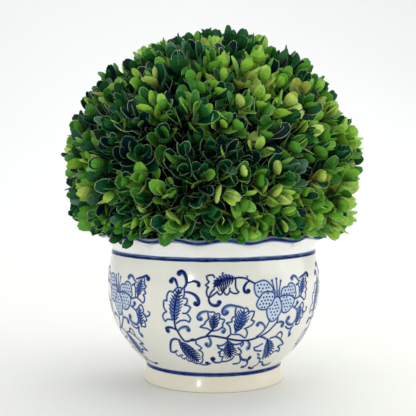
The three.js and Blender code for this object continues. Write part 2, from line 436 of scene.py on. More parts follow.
class Brush:
    """Collects painted shapes, layer by layer, in the wall's flat coordinates."""

    def __init__(self):
        self.shapes = {layer: [] for layer in LIFTS}

    def add(self, layer, points, faces):
        self.shapes[layer].append((np.asarray(points, float), np.asarray(faces, int)))

    def disc(self, layer, centre, radius, tall=None, turn=0.0, soft=True):
        """A round or oval dab."""
        if soft and layer in EDGED:
            edge = SOFT_EDGE / 2
            self.disc("halo", centre, radius + edge, None if tall is None else tall + edge,
                      turn, False)
        tall = radius if tall is None else tall
        angle = np.linspace(0, math.tau, 10 if radius < 1 else 20, endpoint=False)
        ring = np.stack([radius * np.cos(angle), tall * np.sin(angle)], 1)
        spread = np.array([[math.cos(turn), math.sin(turn)], [-math.sin(turn), math.cos(turn)]])
        self.patch(layer, ring @ spread + np.asarray(centre[:2], float),
                   max(1, round(max(radius, tall) / PATCH_STEP)))

    def patch(self, layer, ring, rings):
        """A filled shape, as rings that spread from its middle to its edge."""
        middle = ring.mean(0)
        share = np.linspace(0, 1, rings + 1)[1:, None, None]
        points = np.concatenate([middle[None], (middle + (ring - middle) * share).reshape(-1, 2)])
        k = np.arange(len(ring))
        following = (k + 1) % len(ring)
        faces = [np.stack([0 * k, 1 + k, 1 + following, 1 + following], 1)]
        for inner in range(1, 1 + (rings - 1) * len(ring), len(ring)):
            outer = inner + len(ring)
            faces.append(np.stack([inner + k, outer + k, outer + following, inner + following], 1))
        self.add(layer, points, np.concatenate(faces))

    def stroke(self, layer, points, start, end=None, middle=None):
        """A brush stroke of changing width with round ends, split at its sharp corners."""
        end = start if end is None else end
        middle = (start + end) / 2 if middle is None else middle
        line = smooth_line(points)
        along = length_along(line)
        width = np.interp(along / along[-1], [0, 0.5, 1], [start, middle, end])
        if layer in EDGED:
            self.ribbon("halo", line, width + SOFT_EDGE)
        self.ribbon(layer, line, width)

    def outline(self, *edges, layer="mid", width=OUTLINE):
        """The edges of a leaf, each one stroke of an even width."""
        for edge in edges:
            self.stroke(layer, edge, width)

    def ribbon(self, layer, line, width):
        """A band along a line, with a round dab at both ends."""
        side = sideways(line) * (width / 2)[:, None]
        count = len(line)
        index = np.arange(count - 1)
        faces = np.stack([index, index + count, index + count + 1, index + 1], 1)
        self.add(layer, np.concatenate([line + side, line - side]), faces)
        for end in (0, -1):
            self.disc(layer, line[end], width[end] / 2, soft=False)

    def curl(self, layer, points, ball, start, end, radius):
        """A tapering stroke that ends in a round dab, darker along its outer side."""
        points = list(points) + [ball]
        end, radius = FULLER_END * end, FULLER_DAB * radius
        base = "mid" if layer == "dark" else "soft"
        self.stroke(base, points, start, end)
        self.disc(base, ball, radius)
        line = smooth_line(points)
        side = sideways(line)
        turned = np.sum(side[:-1, 0] * side[1:, 1] - side[:-1, 1] * side[1:, 0])
        side = side * (-1 if turned > 0 else 1)
        width = np.linspace(start, end, len(line))
        self.ribbon(layer, line + side * (DARK_SHIFT * width)[:, None], DARK_WIDTH * width)
        self.disc(layer, np.array(ball) + side[-1] * DARK_DAB_SHIFT * radius, DARK_DAB * radius,
                  soft=False)

    def feather(self, layer, spine, left, right, count, lean, width=1.4, fills=(0.9, 0.65),
                root=0.0):
        """A leaf's painted middle: paler fills, a spine and barbs that stick out of it. Fills are
        shares of the reach to the left and right, and root is the darkest fill's share of both."""
        line = even_line(smooth_line(spine), count + 2)
        side = sideways(line)
        swell = np.sin(math.pi * np.linspace(*SWELL, len(line)))[:, None]
        under = "mid" if layer == "dark" else "soft"
        for tone, share in (("soft", WIDE_FILL), (under, NARROW_FILL), (layer, root)):
            if share:
                reach = swell * share
                self.fill(tone, line + side * reach * left * fills[0],
                          line - side * reach * right * fills[1], FILL_ROWS, FILL_COLUMNS)
        self.barbs(layer, spine, count, left, right, lean, width)
        self.stroke(layer, spine, *SPINE_WIDTHS)

    def fill(self, layer, left, right, rows, columns):
        """A filled shape between two edges that run the same way."""
        left, right = even_line(smooth_line(left), rows), even_line(smooth_line(right), rows)
        share = np.linspace(0, 1, columns)[None, :, None]
        points = (left[:, None] * (1 - share) + right[:, None] * share).reshape(-1, 2)
        i, j = np.indices((rows - 1, columns - 1))
        start = i * columns + j
        faces = np.stack([start, start + 1, start + columns + 1, start + columns], -1)
        self.add(layer, points, faces.reshape(-1, 4))

    def barbs(self, layer, spine, count, left, right, lean, width):
        """Feather strokes on both sides of a spine. Lean is how far they follow it."""
        line = even_line(smooth_line(spine), count + 2)
        way = unit(np.gradient(line, axis=0))
        for k in range(1, count + 1):
            swell = math.sin(math.pi * (BARB_START + BARB_SPAN * k / (count + 1)))
            for reach, sign in ((left, 1), (right, -1)):
                if reach <= 0:
                    continue
                side = sign * np.array([-way[k, 1], way[k, 0]])
                end = line[k] + swell * reach * side + lean * swell * reach * way[k]
                knee = (line[k] + KNEE_OUT * swell * reach * side
                        + KNEE_ALONG * lean * swell * reach * way[k])
                hair = smooth_line([line[k], knee, end])
                self.ribbon(layer, hair, np.linspace(width, BARB_TIP * width, len(hair)))


def sideways(line):
    """The direction to the left of a flat line, at each of its points."""
    way = np.gradient(line, axis=0)
    way = way / np.maximum(np.linalg.norm(way, axis=1, keepdims=True), 1e-9)
    return np.stack([-way[:, 1], way[:, 0]], 1)


def smooth_line(points, step=0.8):
    """A smooth line through the points, sharp where a point's third value is 1."""
    corners = [k for k, p in enumerate(points) if len(p) > 2 and p[2]]
    cuts = sorted({0, len(points) - 1, *corners})
    line = []
    for first, last in zip(cuts[:-1], cuts[1:]):
        part = np.array([p[:2] for p in points[first:last + 1]], float)
        if len(part) == 2:
            padded = np.array([part[0], part[0], part[1], part[1]])
        else:
            padded = np.concatenate([[2 * part[0] - part[1]], part, [2 * part[-1] - part[-2]]])
        for k in range(len(part) - 1):
            a, b, c, d = padded[k:k + 4]
            pieces = max(2, int(np.linalg.norm(c - b) / step) + 1)
            t = np.linspace(0, 1, pieces, endpoint=False)[:, None]
            line.append(0.5 * (2 * b + (c - a) * t + (2 * a - 5 * b + 4 * c - d) * t * t
                               + (3 * b - a - 3 * c + d) * t ** 3))
        if last == cuts[-1]:
            line.append(part[-1:])
    return np.concatenate(line)


def even_line(line, count):
    """The same line as evenly spaced points."""
    along = length_along(line)
    spots = np.linspace(0, along[-1], count)
    return np.stack([np.interp(spots, along, line[:, 0]), np.interp(spots, along, line[:, 1])], 1)


def paint_upright_leaf(brush):
    spine = [(-28.3, 54), (-27.7, 62), (-26.2, 70), (-24.3, 77)]
    brush.feather("mid", spine, 4.4, 5.2, 9, 0.6, 1.25, (0.95, 0.75), 0.2)
    brush.barbs("dark", [(-26.6, 67), (-25.6, 72), (-24, 77)], 3, 2.6, 3.2, 0.7, 1.2)
    brush.stroke("dark", spine, 1.0, 1.3)
    brush.outline(
        [(-28.5, 75.3), (-31, 75.8), (-32.8, 73), (-33, 69, 1), (-35, 69.3), (-35.7, 66), (-35, 63),
         (-33.5, 61.5, 1), (-36, 60), (-37, 57.5), (-35.6, 54.2, 1), (-33.5, 56), (-31, 56),
         (-29.3, 55.8)],
        [(-20.3, 78.5), (-20.2, 74), (-21.2, 71.5, 1), (-18.6, 71.3), (-18, 70, 1), (-18.6, 68),
         (-20.5, 66.7, 1), (-18, 66.6), (-15.8, 65.3, 1), (-17.5, 62.5), (-19.5, 61), (-21.5, 61)],
        [(-18.3, 60.5), (-16.3, 57.5), (-17.3, 54.7, 1), (-20, 56), (-23.5, 55.6), (-27, 53.5)],
        [(-28.5, 75.3), (-25, 78.6), (-22, 78.3), (-20.5, 78.5)],
        [(-24, 75), (-21.5, 78)])
    brush.stroke("dark", [(-28.3, 55), (-28, 50.5), (-27, 48.3), (-25.5, 45), (-23.7, 42), (-22.5, 40.8)],
        STALK)
    brush.curl("dark", [(-24.8, 78.5), (-25.6, 81), (-27, 83.8), (-29, 84.4)], (-29.8, 82.8), 1.0, 2.2,
        1.4)
    brush.curl("dark", [(-20.5, 78.5), (-18.8, 81.5), (-19, 85), (-20.5, 88.3), (-22.8, 89.4)],
        (-24.2, 88.3), 1.2, 2.8, 1.5)
    brush.stroke("mid", [(-18.7, 82), (-16.5, 82.4), (-14.2, 83.3)], 0.7, 1.3)
    brush.stroke("dark", [(-14.2, 83.3), (-12, 83), (-10.2, 81.8), (-10.2, 80.5)], 1.2, 2.4)
    brush.curl("dark", [(-20, 75.8), (-16.5, 75.5), (-13, 74), (-10.8, 71.5), (-10.3, 69), (-11.2, 67.4)],
        (-12.4, 68), 1.0, 2.6, 1.3)
    brush.curl("dark", [(-28, 48.8), (-30.5, 50), (-33.5, 50.1), (-35.5, 49)], (-34.6, 47.6), 1.0, 2.2,
        1.4)
    brush.curl("mid", [(-26.5, 47.5), (-24.5, 49.8), (-21.5, 51.1), (-19, 51)], (-18.4, 49.2), 1.0, 2.2,
        1.4)


def paint_lower_left_leaf(brush):
    spine = [(-27, 40), (-23, 35), (-18.5, 29.5), (-13.5, 24.5)]
    brush.feather("dark", spine, 6.2, 5.4, 9, 0.75, 1.25, (0.9, 0.9), 0.2)
    brush.stroke("mid", [(-26, 41), (-30, 41.8), (-33.3, 40.2), (-35.3, 36.5), (-37, 31.4, 1),
        (-34.5, 31), (-32, 32), (-30.5, 32.6)], 1.2, 1.0, 1.7)
    brush.stroke("mid", [(-32.5, 31), (-32.4, 29), (-30.8, 28, 1), (-28.6, 29), (-28.4, 27),
        (-26.6, 25.9, 1), (-24.6, 27), (-23.6, 25), (-22, 24.2, 1), (-20, 24.6), (-17, 22.9), (-13, 22.6),
        (-9, 21.8), (-6, 22), (-3, 23)], 0.8, 1.1)
    brush.disc("dark", (-6, 23.6), 1.9, 1.0)
    brush.disc("mid", (-27, 29.4), 0.7)
    brush.stroke("mid", [(-21, 40.6), (-13.8, 41.3), (-13.8, 39, 1), (-11.5, 37.5), (-9.3, 35.8, 1),
        (-11, 34.3), (-12.5, 34, 1), (-10, 33), (-8.8, 30.5), (-9.8, 28.5, 1), (-9.4, 26.4), (-10.6, 24),
        (-12, 23.5)], OUTLINE)


def paint_stems(brush):
    brush.stroke("dark", [(-22.5, 40.7), (-20, 40.3), (-18, 41.2), (-16, 42.3), (-13.5, 42), (-10, 43.4),
        (-6, 44.5), (-4, 45), (0, 45), (4, 44.3), (9, 43.3), (14, 42.1), (19, 41.3), (24, 41), (28, 41.2),
        (32, 42.1), (35, 43)], 1.1, 1.2, 1.35)
    brush.stroke("mid", [(33, 43.3), (36.5, 45.8), (39, 48.8), (41, 52.5), (41.7, 55.5)], 1.0)
    brush.stroke("mid", [(35, 43), (39.5, 44.8), (43, 47), (46, 50), (48.3, 52.5), (49, 55.5)], 1.1)
    brush.stroke("mid", [(36, 43.2), (39.5, 42.2), (42, 40.8)], 1.2)
    brush.curl("mid", [(-4, 44.5), (-2.4, 41.5), (-2.6, 38.5), (-4.4, 37.4)], (-5.4, 38.6), 1.1, 2.4, 1.3)
    brush.curl("mid", [(25.5, 41), (27.8, 39), (28.8, 36.5)], (28.2, 34.9), 1.0, 2.4, 1.6)


def paint_small_leaf(brush):
    brush.feather("dark", [(-0.8, 49.5), (0, 54), (0.3, 60.4)], 3.8, 4.0, 5, 0.6, 1.15, (0.9, 0.9))
    brush.curl("mid", [(-2.5, 62.3), (-5.5, 62.7), (-9, 61.5), (-10.8, 58.8), (-10.2, 57.2)],
        (-9.1, 57.4), 1.0, 2.3, 1.3)
    brush.outline(
        [(-4, 61.8), (-3.6, 58), (-4.5, 56.5), (-6, 55), (-6, 54, 1), (-9.8, 51.5, 1), (-7, 51),
         (-4.5, 50.5), (-2, 49)],
        [(-2.5, 62.3), (0, 62.3), (1.5, 60.7, 1), (3, 61.3), (4.2, 60.5), (4, 57.8, 1), (7.2, 57),
         (7.5, 56), (6.3, 54, 1), (6.4, 52), (4, 50), (1, 49), (-1, 48.6)])
    brush.curl("mid", [(5.6, 51.5), (7.6, 50.4), (8, 49)], (7, 48.2), 0.8, 1.9, 1.3)
    brush.stroke("dark", [(-1.5, 49), (-4.5, 46), (-5.5, 45)], 1.2)


def paint_middle_leaf(brush):
    spine = [(16, 47.3), (18, 53), (20, 58), (21.2, 63)]
    brush.feather("mid", spine, 5.2, 5.2, 7, 0.8, 1.3, (0.8, 0.85), 0.2)
    brush.barbs("dark", [(16.2, 46.6), (17.2, 50), (18.6, 56)], 3, 3.4, 3.6, 0.7, 1.1)
    brush.curl("mid", [(20, 64.8), (16, 66), (11, 66.8), (7.6, 65.3), (6.4, 62.5), (7.6, 60.9)],
        (8.9, 62), 1.0, 2.6, 1.4)
    brush.outline(
        [(15.5, 65.5), (15, 62), (15.3, 59, 1), (13.5, 58.5), (12.7, 57), (13, 55.2, 1), (8.8, 54.5, 1),
         (11, 52.5), (12, 50), (12.3, 47.5), (13, 46.3)],
        [(16.5, 66.3), (20, 65), (21, 64, 1), (22.8, 64.8), (24.3, 63), (24.5, 61.5, 1), (26.4, 62.2),
         (28.8, 62, 1), (28.3, 59), (26.8, 56, 1), (29.5, 54.8, 1), (28, 52.5), (25, 50.8), (22.5, 50)],
        [(23.5, 49.6), (25, 47), (24.6, 44), (23.5, 43), (21.5, 44.3), (18.5, 45.8), (14, 46)])
    brush.stroke("dark", [(12.5, 46), (9.5, 43.4)], 1.1)


def paint_top_leaf(brush):
    spine = [(0.3, 79.6), (3.5, 82.8), (8.5, 84.8), (15, 85.2)]
    brush.fill("wash", [(1, 83), (5, 87.3), (10, 88.2), (14.6, 86.6)], [(4, 82), (7, 84), (10, 85),
        (14.6, 85.6)], 10, 4)
    brush.feather("dark", spine, 3.6, 7.4, 8, -0.3, 1.2, (0.95, 0.5), 0.3)
    brush.disc("dark", (2.4, 82.2), 2.1, 2.5, 0.6)
    brush.disc("dark", (6.3, 88.7), 0.7)
    brush.outline(
        [(0.5, 86), (-0.5, 87.5), (-3, 87.4), (-4.9, 86.7, 1), (-4.3, 84.5), (-3, 82.9, 1),
         (-5.5, 80.8, 1), (-4, 79.5), (-3, 79.2, 1), (-4.2, 78.8), (-4.8, 76), (-4.3, 73.5), (-3.2, 72)],
        [(-3, 73), (-1.5, 76), (0.5, 78.3)],
        [(-2.5, 72.5), (0, 74.3), (2.3, 76)],
        [(2.3, 76.4), (4, 74.2), (6, 75.5), (7, 77.5)],
        [(7, 75.9), (8.7, 74.1), (10.7, 75.8), (11, 78.5)],
        [(11, 76.8), (13, 75.3), (15.5, 74.9), (17.4, 75.8, 1), (15.8, 77.5), (15, 80.5), (15.2, 85)],
        layer="dark")
    brush.curl("dark", [(-3.3, 72.5), (-3, 69.5), (-1.2, 67.4), (1.5, 66.8), (3.3, 67.7)], (3.8, 69), 1.1,
        2.3, 1.3)
    brush.stroke("dark", [(14, 85.3), (18, 85.6), (22, 85), (25, 83.3), (27.5, 82), (29, 81)], 1.1)
    brush.stroke("dark", [(23.3, 85), (23.4, 86.6)], 1.0, 0.6)
    brush.stroke("dark", [(25, 83.2), (22.5, 81.5), (20.9, 78.5), (21.4, 76), (23, 75.4)], 1.0, 2.0, 1.7)
    brush.disc("dark", (23.9, 76.2), 1.6)


# The flower's petals, as the corners of their outlines
PETALS = (
    [(28.7, 81.2), (32, 82.3), (35.2, 83.1), (38.1, 82.3), (40.5, 80.4), (42.6, 78), (43.2, 76),
     (41.8, 74.9), (38.3, 75.1), (35.1, 74.6), (33.4, 72.6), (32.4, 71.4), (29.9, 73.2),
     (28.7, 76.2), (28.4, 78.8)],
    [(50.3, 71.2), (50, 72.9), (50.8, 75.8), (53.1, 77.2), (55.8, 77.2), (57.3, 79), (59.8, 79.6),
     (62.3, 78.5), (63.7, 76.4), (64.4, 73.3), (64.7, 70.9), (63.4, 68.8), (62, 69.4),
     (59.2, 70.8), (55.5, 71.5), (52.4, 71.4)],
    [(30.1, 66.9), (30.9, 64.8), (33, 63.2), (36.2, 62.7), (38.7, 63.3), (40, 64.9), (42.2, 66.1),
     (43.2, 68.3), (44.3, 70.6), (44, 73.3), (41.8, 74.8), (38.3, 75), (35.1, 74.5),
     (33.3, 72.5), (31.2, 69.6)],
    [(48.7, 70.5), (51.8, 71.3), (55.5, 71.4), (59.2, 70.7), (62, 69.2), (63.1, 67.1),
     (62.2, 64.5), (60.3, 61.9), (57.7, 59.7), (54.4, 59), (52, 59.9), (51.2, 62.5),
     (50.8, 65.2), (49.6, 67.8)],
    [(46.5, 71.2), (44.6, 70.4), (43.2, 68.3), (42.2, 66), (40, 64.9), (38.5, 62.5), (38.8, 59.4),
     (40.6, 55.7), (43.4, 53.7), (46.2, 54.4), (48.6, 56.7), (50.5, 59.9), (51.2, 62.5),
     (50.8, 65.2), (49.6, 67.8), (48.5, 70)])


def within(spot, ring):
    """Whether a point is inside a closed ring of points."""
    ends = np.roll(ring, -1, axis=0)
    crosses = (ring[:, 1] > spot[1]) != (ends[:, 1] > spot[1])
    rise = np.where(crosses, ends[:, 1] - ring[:, 1], 1.0)
    at = ring[:, 0] + (spot[1] - ring[:, 1]) / rise * (ends[:, 0] - ring[:, 0])
    return bool(np.sum(crosses & (spot[0] < at)) % 2)


# The flower's dots: rows and columns this far apart, how far each strays and its radius
DOT_ROW, DOT_COLUMN, DOT_STRAY, DOT_RADIUS = 2.3, 2.5, 0.16, 0.68
# The share of a petal that has dots
DOTTED = 0.8
PETAL_STEP = 1.4


def paint_flower(brush):
    """Five dotted petals round a middle with stalks."""
    random = rng(SEEDS["dots"])
    for petal in PETALS:
        ring = smooth_line([*petal, petal[0]], PETAL_STEP)
        brush.patch("petal", ring[:-1], 5)
        brush.stroke("mid", [*petal, petal[0]], 0.85)
        middle = ring.mean(0)
        inner = middle + (ring - middle) * DOTTED
        low, high = inner.min(0), inner.max(0)
        for row, up in enumerate(np.arange(low[1] + 0.5, high[1], DOT_ROW)):
            for right in np.arange(low[0] + 1.2 * (row % 2), high[0], DOT_COLUMN):
                spot = np.array([right, up]) + random.normal(size=2) * DOT_STRAY
                if within(spot, inner):
                    brush.disc("dark", spot, DOT_RADIUS, soft=False)
    for stalk in ([(44.4, 70.6), (44, 76), (42.3, 82.5)], [(46.4, 71), (46.3, 77), (46, 83.5)],
                  [(48.3, 70.8), (48.6, 76.5), (49.8, 81.8)]):
        brush.stroke("mid", stalk, 1.0, 0.75)
        brush.disc("mid", stalk[-1], 0.8)
    for stalk in ([(45.4, 71), (45.2, 75.5)], [(47.3, 71), (47.4, 75.5)]):
        brush.stroke("soft", stalk, 0.7, 0.5)
    brush.curl("mid", [(39, 49), (37.5, 51.5), (34.8, 53.4), (32.8, 53.3)], (32.4, 52.2), 0.9, 1.9, 1.2)
    brush.curl("mid", [(48.5, 52), (51, 52.7), (53.6, 52.2), (55.2, 50.8)], (54.4, 49.8), 0.9, 2.2, 1.4)


def paint_lower_leaf(brush):
    brush.feather("dark", [(11, 40.5), (12, 36), (13.2, 31.5), (14.5, 27.6)], 6.2, 5.2, 6, 0.6, 1.25,
        (0.7, 0.9), 0.25)
    brush.outline(
        [(10.5, 40.8), (8, 38.5), (4.5, 37.5), (2.8, 38.3, 1), (4, 36), (6.5, 34.8), (9, 34.3)],
        [(7, 34), (3.8, 32.3, 1), (5.5, 31.5)],
        [(5, 31), (5, 29.3, 1), (8, 28.5)],
        [(7.5, 24.6), (11, 24.8), (15, 26), (17, 27.5)],
        [(12, 40.5), (14.5, 38.8), (18, 38.3), (21.5, 39)],
        [(21, 38), (22.2, 40.6, 1), (23.3, 38.5), (22, 36.5)],
        [(19.5, 35.5), (22.5, 33), (23, 31), (20, 30)],
        [(23, 28), (24.5, 25), (24, 23), (21, 22.3), (18.5, 22.3)], width=OUTLINE + 0.2)
    brush.stroke("mid", [(8, 28), (7, 26), (7.5, 24.5), (3, 23.8), (0.5, 24.3), (-1.3, 25.8)], 0.9, 1.6)
    brush.disc("dark", (-0.6, 27), 2.2, 1.7)
    brush.stroke("mid", [(21.5, 30.5), (24, 27.5), (25.5, 26), (29, 25), (32, 25.2)], 1.3, 2.2)
    brush.disc("dark", (32.6, 26.6), 1.6)
    brush.stroke("mid", [(30, 25), (32.3, 23), (32.8, 20.5), (31, 19), (28.5, 19)], 1.3, 2.0)
    brush.stroke("dark", [(11, 41), (9.5, 43.5)], 1.1)


def paint_lower_right_leaf(brush):
    brush.feather("mid", [(43.4, 40.5), (46.5, 35.5), (49.5, 30), (51, 24.8)], 5.6, 5.2, 7, 0.9, 1.2,
        (0.8, 0.8), 0.25)
    brush.stroke("dark", [(43.4, 40.5), (46.5, 35.5), (49.5, 30), (51, 25.4)], 1.3, 0.8)
    brush.outline(
        [(40, 37.3), (36.5, 35.5), (33.3, 35, 1), (34.5, 33), (37, 32), (41.5, 31.5)],
        [(39, 29.5), (41.5, 28), (41, 26), (45, 25)],
        [(50.5, 41.5), (53.5, 44.7), (55.5, 44.5), (57.5, 42.5), (57.5, 40.5)],
        [(46, 41), (51, 41.6), (56.5, 39.5), (60, 37.3), (64, 34.3, 1), (58, 33.5), (61.5, 31.5),
         (64, 28.8, 1), (58, 29.6), (54, 27)], width=OUTLINE + 0.1)
    brush.stroke("mid", [(44.5, 24.4), (46.5, 22), (50, 21.3), (53, 19), (57, 17.8), (61, 18),
        (64, 18.8)], 1.0, 1.6)
    brush.stroke("mid", [(46, 22.5), (45.5, 19.5), (42.5, 18)], 0.9, 1.2)
    brush.stroke("dark", [(37, 18), (40, 17), (43, 16.8)], 1.6)


# From the side leaves' own points to the panel's, one panel further right
SIDE_SHIFT = (128.7, 1.5)


def paint_side_leaves(brush):
    """The two leaves beyond the flower, upper and lower."""
    def move(points):
        return [(p[0] + SIDE_SHIFT[0], p[1] + SIDE_SHIFT[1], *p[2:]) for p in points]

    def curl(layer, points, ball, *sizes):
        brush.curl(layer, move(points), move([ball])[0], *sizes)

    brush.feather("mid", move([(-58, 68.5), (-56.6, 74), (-54.2, 81)]), 3.4, 3.8, 6, 0.6, 1.1)
    curl("mid", [(-59.5, 78.5), (-61.5, 79.5), (-63.5, 81.8), (-66.5, 82.6)], (-68, 81.2), 0.9, 2.0, 1.3)
    brush.stroke("mid", move([(-60.8, 77.8), (-61.5, 77), (-63.5, 76.2)]), 1.2)
    curl("dark", [(-59.8, 80.6), (-57, 81.6), (-54, 82.3), (-51.5, 83.2), (-49.8, 83.4)], (-48.6, 81.8),
         0.8, 2.0, 1.4)
    brush.outline(
        move([(-52, 81.5), (-51.6, 79), (-51.5, 77.5, 1), (-50, 76.5, 1), (-51, 75), (-52.3, 74, 1),
              (-50.2, 71.7, 1), (-52, 70.5), (-53, 69.8, 1), (-51.8, 69), (-51.6, 67), (-52.5, 65),
              (-54, 64.6, 1), (-55.5, 65.8), (-58, 67.3), (-60, 68)]),
        move([(-61.3, 76), (-60.4, 74), (-60.3, 71), (-60.2, 68.3)]),
        move([(-65.5, 66.3), (-62.5, 67), (-59.5, 68)]))
    brush.feather("mid", move([(-58.8, 47), (-58, 53), (-57, 60.5)]), 3.2, 3.8, 6, 0.6, 1.1)
    curl("mid", [(-66.5, 61), (-63.5, 61.2)], (-61.9, 63.4), 0.9, 1.8, 1.3)
    curl("mid", [(-66.5, 61), (-64.5, 60), (-62.5, 59), (-61, 57.5), (-60.3, 55), (-60.2, 52),
                 (-61.5, 49.3), (-64, 47.8), (-68, 48.6), (-70.8, 51)], (-69.4, 53), 0.9, 2.0, 1.5)
    brush.stroke("mid", move([(-70.5, 47), (-68, 45.5), (-65, 44.8), (-61.5, 46.5)]), 1.0)
    brush.outline(
        move([(-61.5, 58.5), (-59, 60), (-56.5, 62.5), (-55, 63, 1), (-53.7, 61), (-53.5, 59),
              (-54.3, 57), (-52.5, 56.3)]),
        move([(-53, 55.5), (-50.5, 55.2), (-48.3, 56.5), (-48, 58), (-49.2, 58.8)]),
        move([(-53, 55.5), (-52, 53.8), (-51.8, 52.3), (-53.5, 51.3), (-55, 51.3, 1), (-54, 49.5),
              (-54.3, 47.5), (-56.5, 46.8), (-58.5, 47.5)]))
    curl("mid", [(-61.5, 46.5), (-63, 44), (-63.8, 42)], (-62, 39.8), 0.9, 2.0, 1.4)


# The pot's outside as radius and height, and the way it runs
WALL_LINE = np.array(outer_profile())
WALL_SLOPE = unit(np.gradient(WALL_LINE, axis=0))


def skin(height, angle, lift):
    """A point on the pot's outside, raised off it by the lift."""
    heights = WALL_LINE[:, 1]
    radius = np.interp(height, heights, WALL_LINE[:, 0])
    out = np.interp(height, heights, WALL_SLOPE[:, 1])
    down = np.interp(height, heights, -WALL_SLOPE[:, 0])
    radius, tall = scalloped(radius, height, angle)
    return around(radius + lift * out, tall + lift * down, angle)


def make_pattern(materials):
    """The painted vines, leaves and flower, in four panels round the bowl."""
    brush = Brush()
    for painter in (paint_upright_leaf, paint_lower_left_leaf, paint_stems, paint_small_leaf,
                    paint_middle_leaf, paint_top_leaf, paint_flower, paint_lower_leaf,
                    paint_lower_right_leaf, paint_side_leaves):
        painter(brush)
    shapes = []
    for kind, (layer, lift) in enumerate(LIFTS.items()):
        for order, (flat, quads) in enumerate(brush.shapes[layer]):
            raised = lift + LIFT_STEP * (order % LIFT_STEPS) / LIFT_STEPS
            for turn in PANEL_TURNS:
                angle = flat[:, 0] / BELLY_RADIUS + turn
                shapes.append((skin(flat[:, 1], angle, raised), quads, kind))
    return joined("blue_pattern", shapes, materials)


def joined(name, shapes, materials):
    """One piece of triangles that face outwards, from shapes: points, quads and a material's
    place. Some quads are triangles with their last corner twice."""
    starts = np.cumsum([0] + [len(shape[0]) for shape in shapes])
    points = np.concatenate([shape[0] for shape in shapes])
    faces = np.concatenate([shape[1] + start for shape, start in zip(shapes, starts)])
    kinds = np.concatenate([np.full(len(shape[1]), shape[2]) for shape in shapes])
    whole = faces[:, 2] != faces[:, 3]
    triangles = np.concatenate([faces[:, [0, 1, 2]], faces[:, [0, 2, 3]][whole]])
    kinds = np.concatenate([kinds, kinds[whole]])
    a, b, c = (points[triangles[:, k]] for k in range(3))
    normal = np.cross(b - a, c - a)
    middle = (a + b + c) / 3
    inward = normal[:, 0] * middle[:, 0] + normal[:, 1] * middle[:, 1] < 0
    triangles[inward] = triangles[inward][:, ::-1]
    return mesh_piece(name, points, triangles, materials, kinds)


# The blue lines round the shoulder, above the foot and along the rim: each one's height,
# width, layer, lift off the wall and unevenness
BANDS = ((SHOULDER_LINE, 3.3, "halo", 0.03, 0.05), (SHOULDER_LINE, 2.8, "soft", 0.04, 0.06),
         (SHOULDER_LINE - 0.15, 2.3, "mid", 0.052, 0.14),
         (SHOULDER_LINE - 0.45, 1.6, "dark", 0.066, 0.26),
         (SHOULDER_LINE + 0.7, 0.3, "soft", 0.066, 0.9),
         (SHOULDER_LINE + 0.1, 0.25, "soft", 0.066, 1.1),
         (FOOT_HEIGHT, 3.4, "halo", 0.05, 0.05), (FOOT_HEIGHT, 2.9, "soft", 0.065, 0.06),
         (FOOT_HEIGHT - 0.1, 2.4, "mid", 0.08, 0.14),
         (FOOT_HEIGHT - 0.3, 1.5, "dark", 0.095, 0.25),
         (LIP_UNDERSIDE + 0.5, 4.0, "halo", 0.03, 0.05),
         # On the rim, the pale wash above the line is partly a painted reflection of the sky on the
         # rounded lip, partly the paint's soft edge
         (LIP_UNDERSIDE + 0.4, 3.3, "wash", 0.04, 0.1),
         (LIP_UNDERSIDE + 0.3, 2.4, "soft", 0.052, 0.15),
         (LIP_UNDERSIDE + 0.4, 1.6, "mid", 0.062, 0.25),
         (LIP_UNDERSIDE + 0.3, 1.0, "dark", 0.072, 0.6))
BAND_STEPS = 480
THIN_BAND = 0.5
# How far a line's middle sways, and the least share of its width that is left
BAND_SWAY, LEAST_WIDTH = 0.12, 0.05
# How many waves round the pot a line's middle and its width wander in
MIDDLE_WAVES, WIDTH_WAVES = 12, 40


def make_bands(materials):
    """The blue lines round the pot, each as uneven as a brush leaves it."""
    angle = np.linspace(0, math.tau, BAND_STEPS, endpoint=False)
    random = rng(SEEDS["bands"])
    shapes = []
    for centre, width, layer, lift, uneven in BANDS:
        waves = [[random.normal() * np.cos(k * angle + random.uniform(0, ANY_TURN)) / math.sqrt(high)
                  for k in range(2, high)] for high in (MIDDLE_WAVES, WIDTH_WAVES)]
        middle = centre + BAND_SWAY * sum(waves[0]) * (0.3 + uneven)
        half = width / 2 * np.maximum(LEAST_WIDTH, 1 + uneven * sum(waves[1]))
        rows = 3 if width < THIN_BAND else 6
        height = middle[:, None] + half[:, None] * np.linspace(-1, 1, rows)[None]
        turn = np.repeat(angle[:, None], rows, 1)
        shapes.append((skin(height, turn, lift).reshape(-1, 3), turned_faces(BAND_STEPS, rows),
                       list(LIFTS).index(layer)))
    return joined("blue_bands", shapes, materials)


# Crown shape. A ray towards the crown's centre starts this far from it, in metres.
RAY_START = 0.5


def crown_surface():
    """A function from a direction to the crown's radius that way from its centre."""
    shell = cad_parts["crown"]
    tree = BVHTree.FromPolygons([v.co.copy() for v in shell.data.vertices],
                                [p.vertices[:] for p in shell.data.polygons])
    centre = Vector((0, 0, CROWN_CENTRE * MM))

    def radius(direction):
        hit = tree.ray_cast(centre + Vector(direction) * RAY_START, -Vector(direction))
        if hit[0] is None:
            return CROWN_RADIUS
        return (hit[0] - centre).length / MM

    return radius


# Painted shade along a leaf, darker towards its foot and brighter at its tip: where each step ends along
# it, and its share of the tint's colour
PAINTED_SHADE_ENDS = (0.15, 0.34, 0.53, 0.69)
PAINTED_SHADE_LEVELS = (0.18, 0.35, 0.67, 0.98, 1.24)

# Leaf template: rows along the blade, an inner patch, a pale rim ring, partly painted highlight, and an
# underside
OUTER_ROWS = np.array([0.0, 0.15, 0.34, 0.53, 0.69, 0.81, 0.9, 0.955, 0.987])
HIDDEN_ROWS = np.array([0.0, 0.3, 0.6, 0.84, 0.965])
# Columns across the inner patch and where it ends, as shares of the half width
OUTER_SHARES, HIDDEN_SHARES = (-0.5, 0, 0.5), (0,)
INNER_SHARE = 0.92
# How the tip is rounded: the patch stays back from it, and the rim narrows and sags to it
TIP_BACK, TIP_WIDTH, TIP_SAG = 0.035, 0.97, 0.025
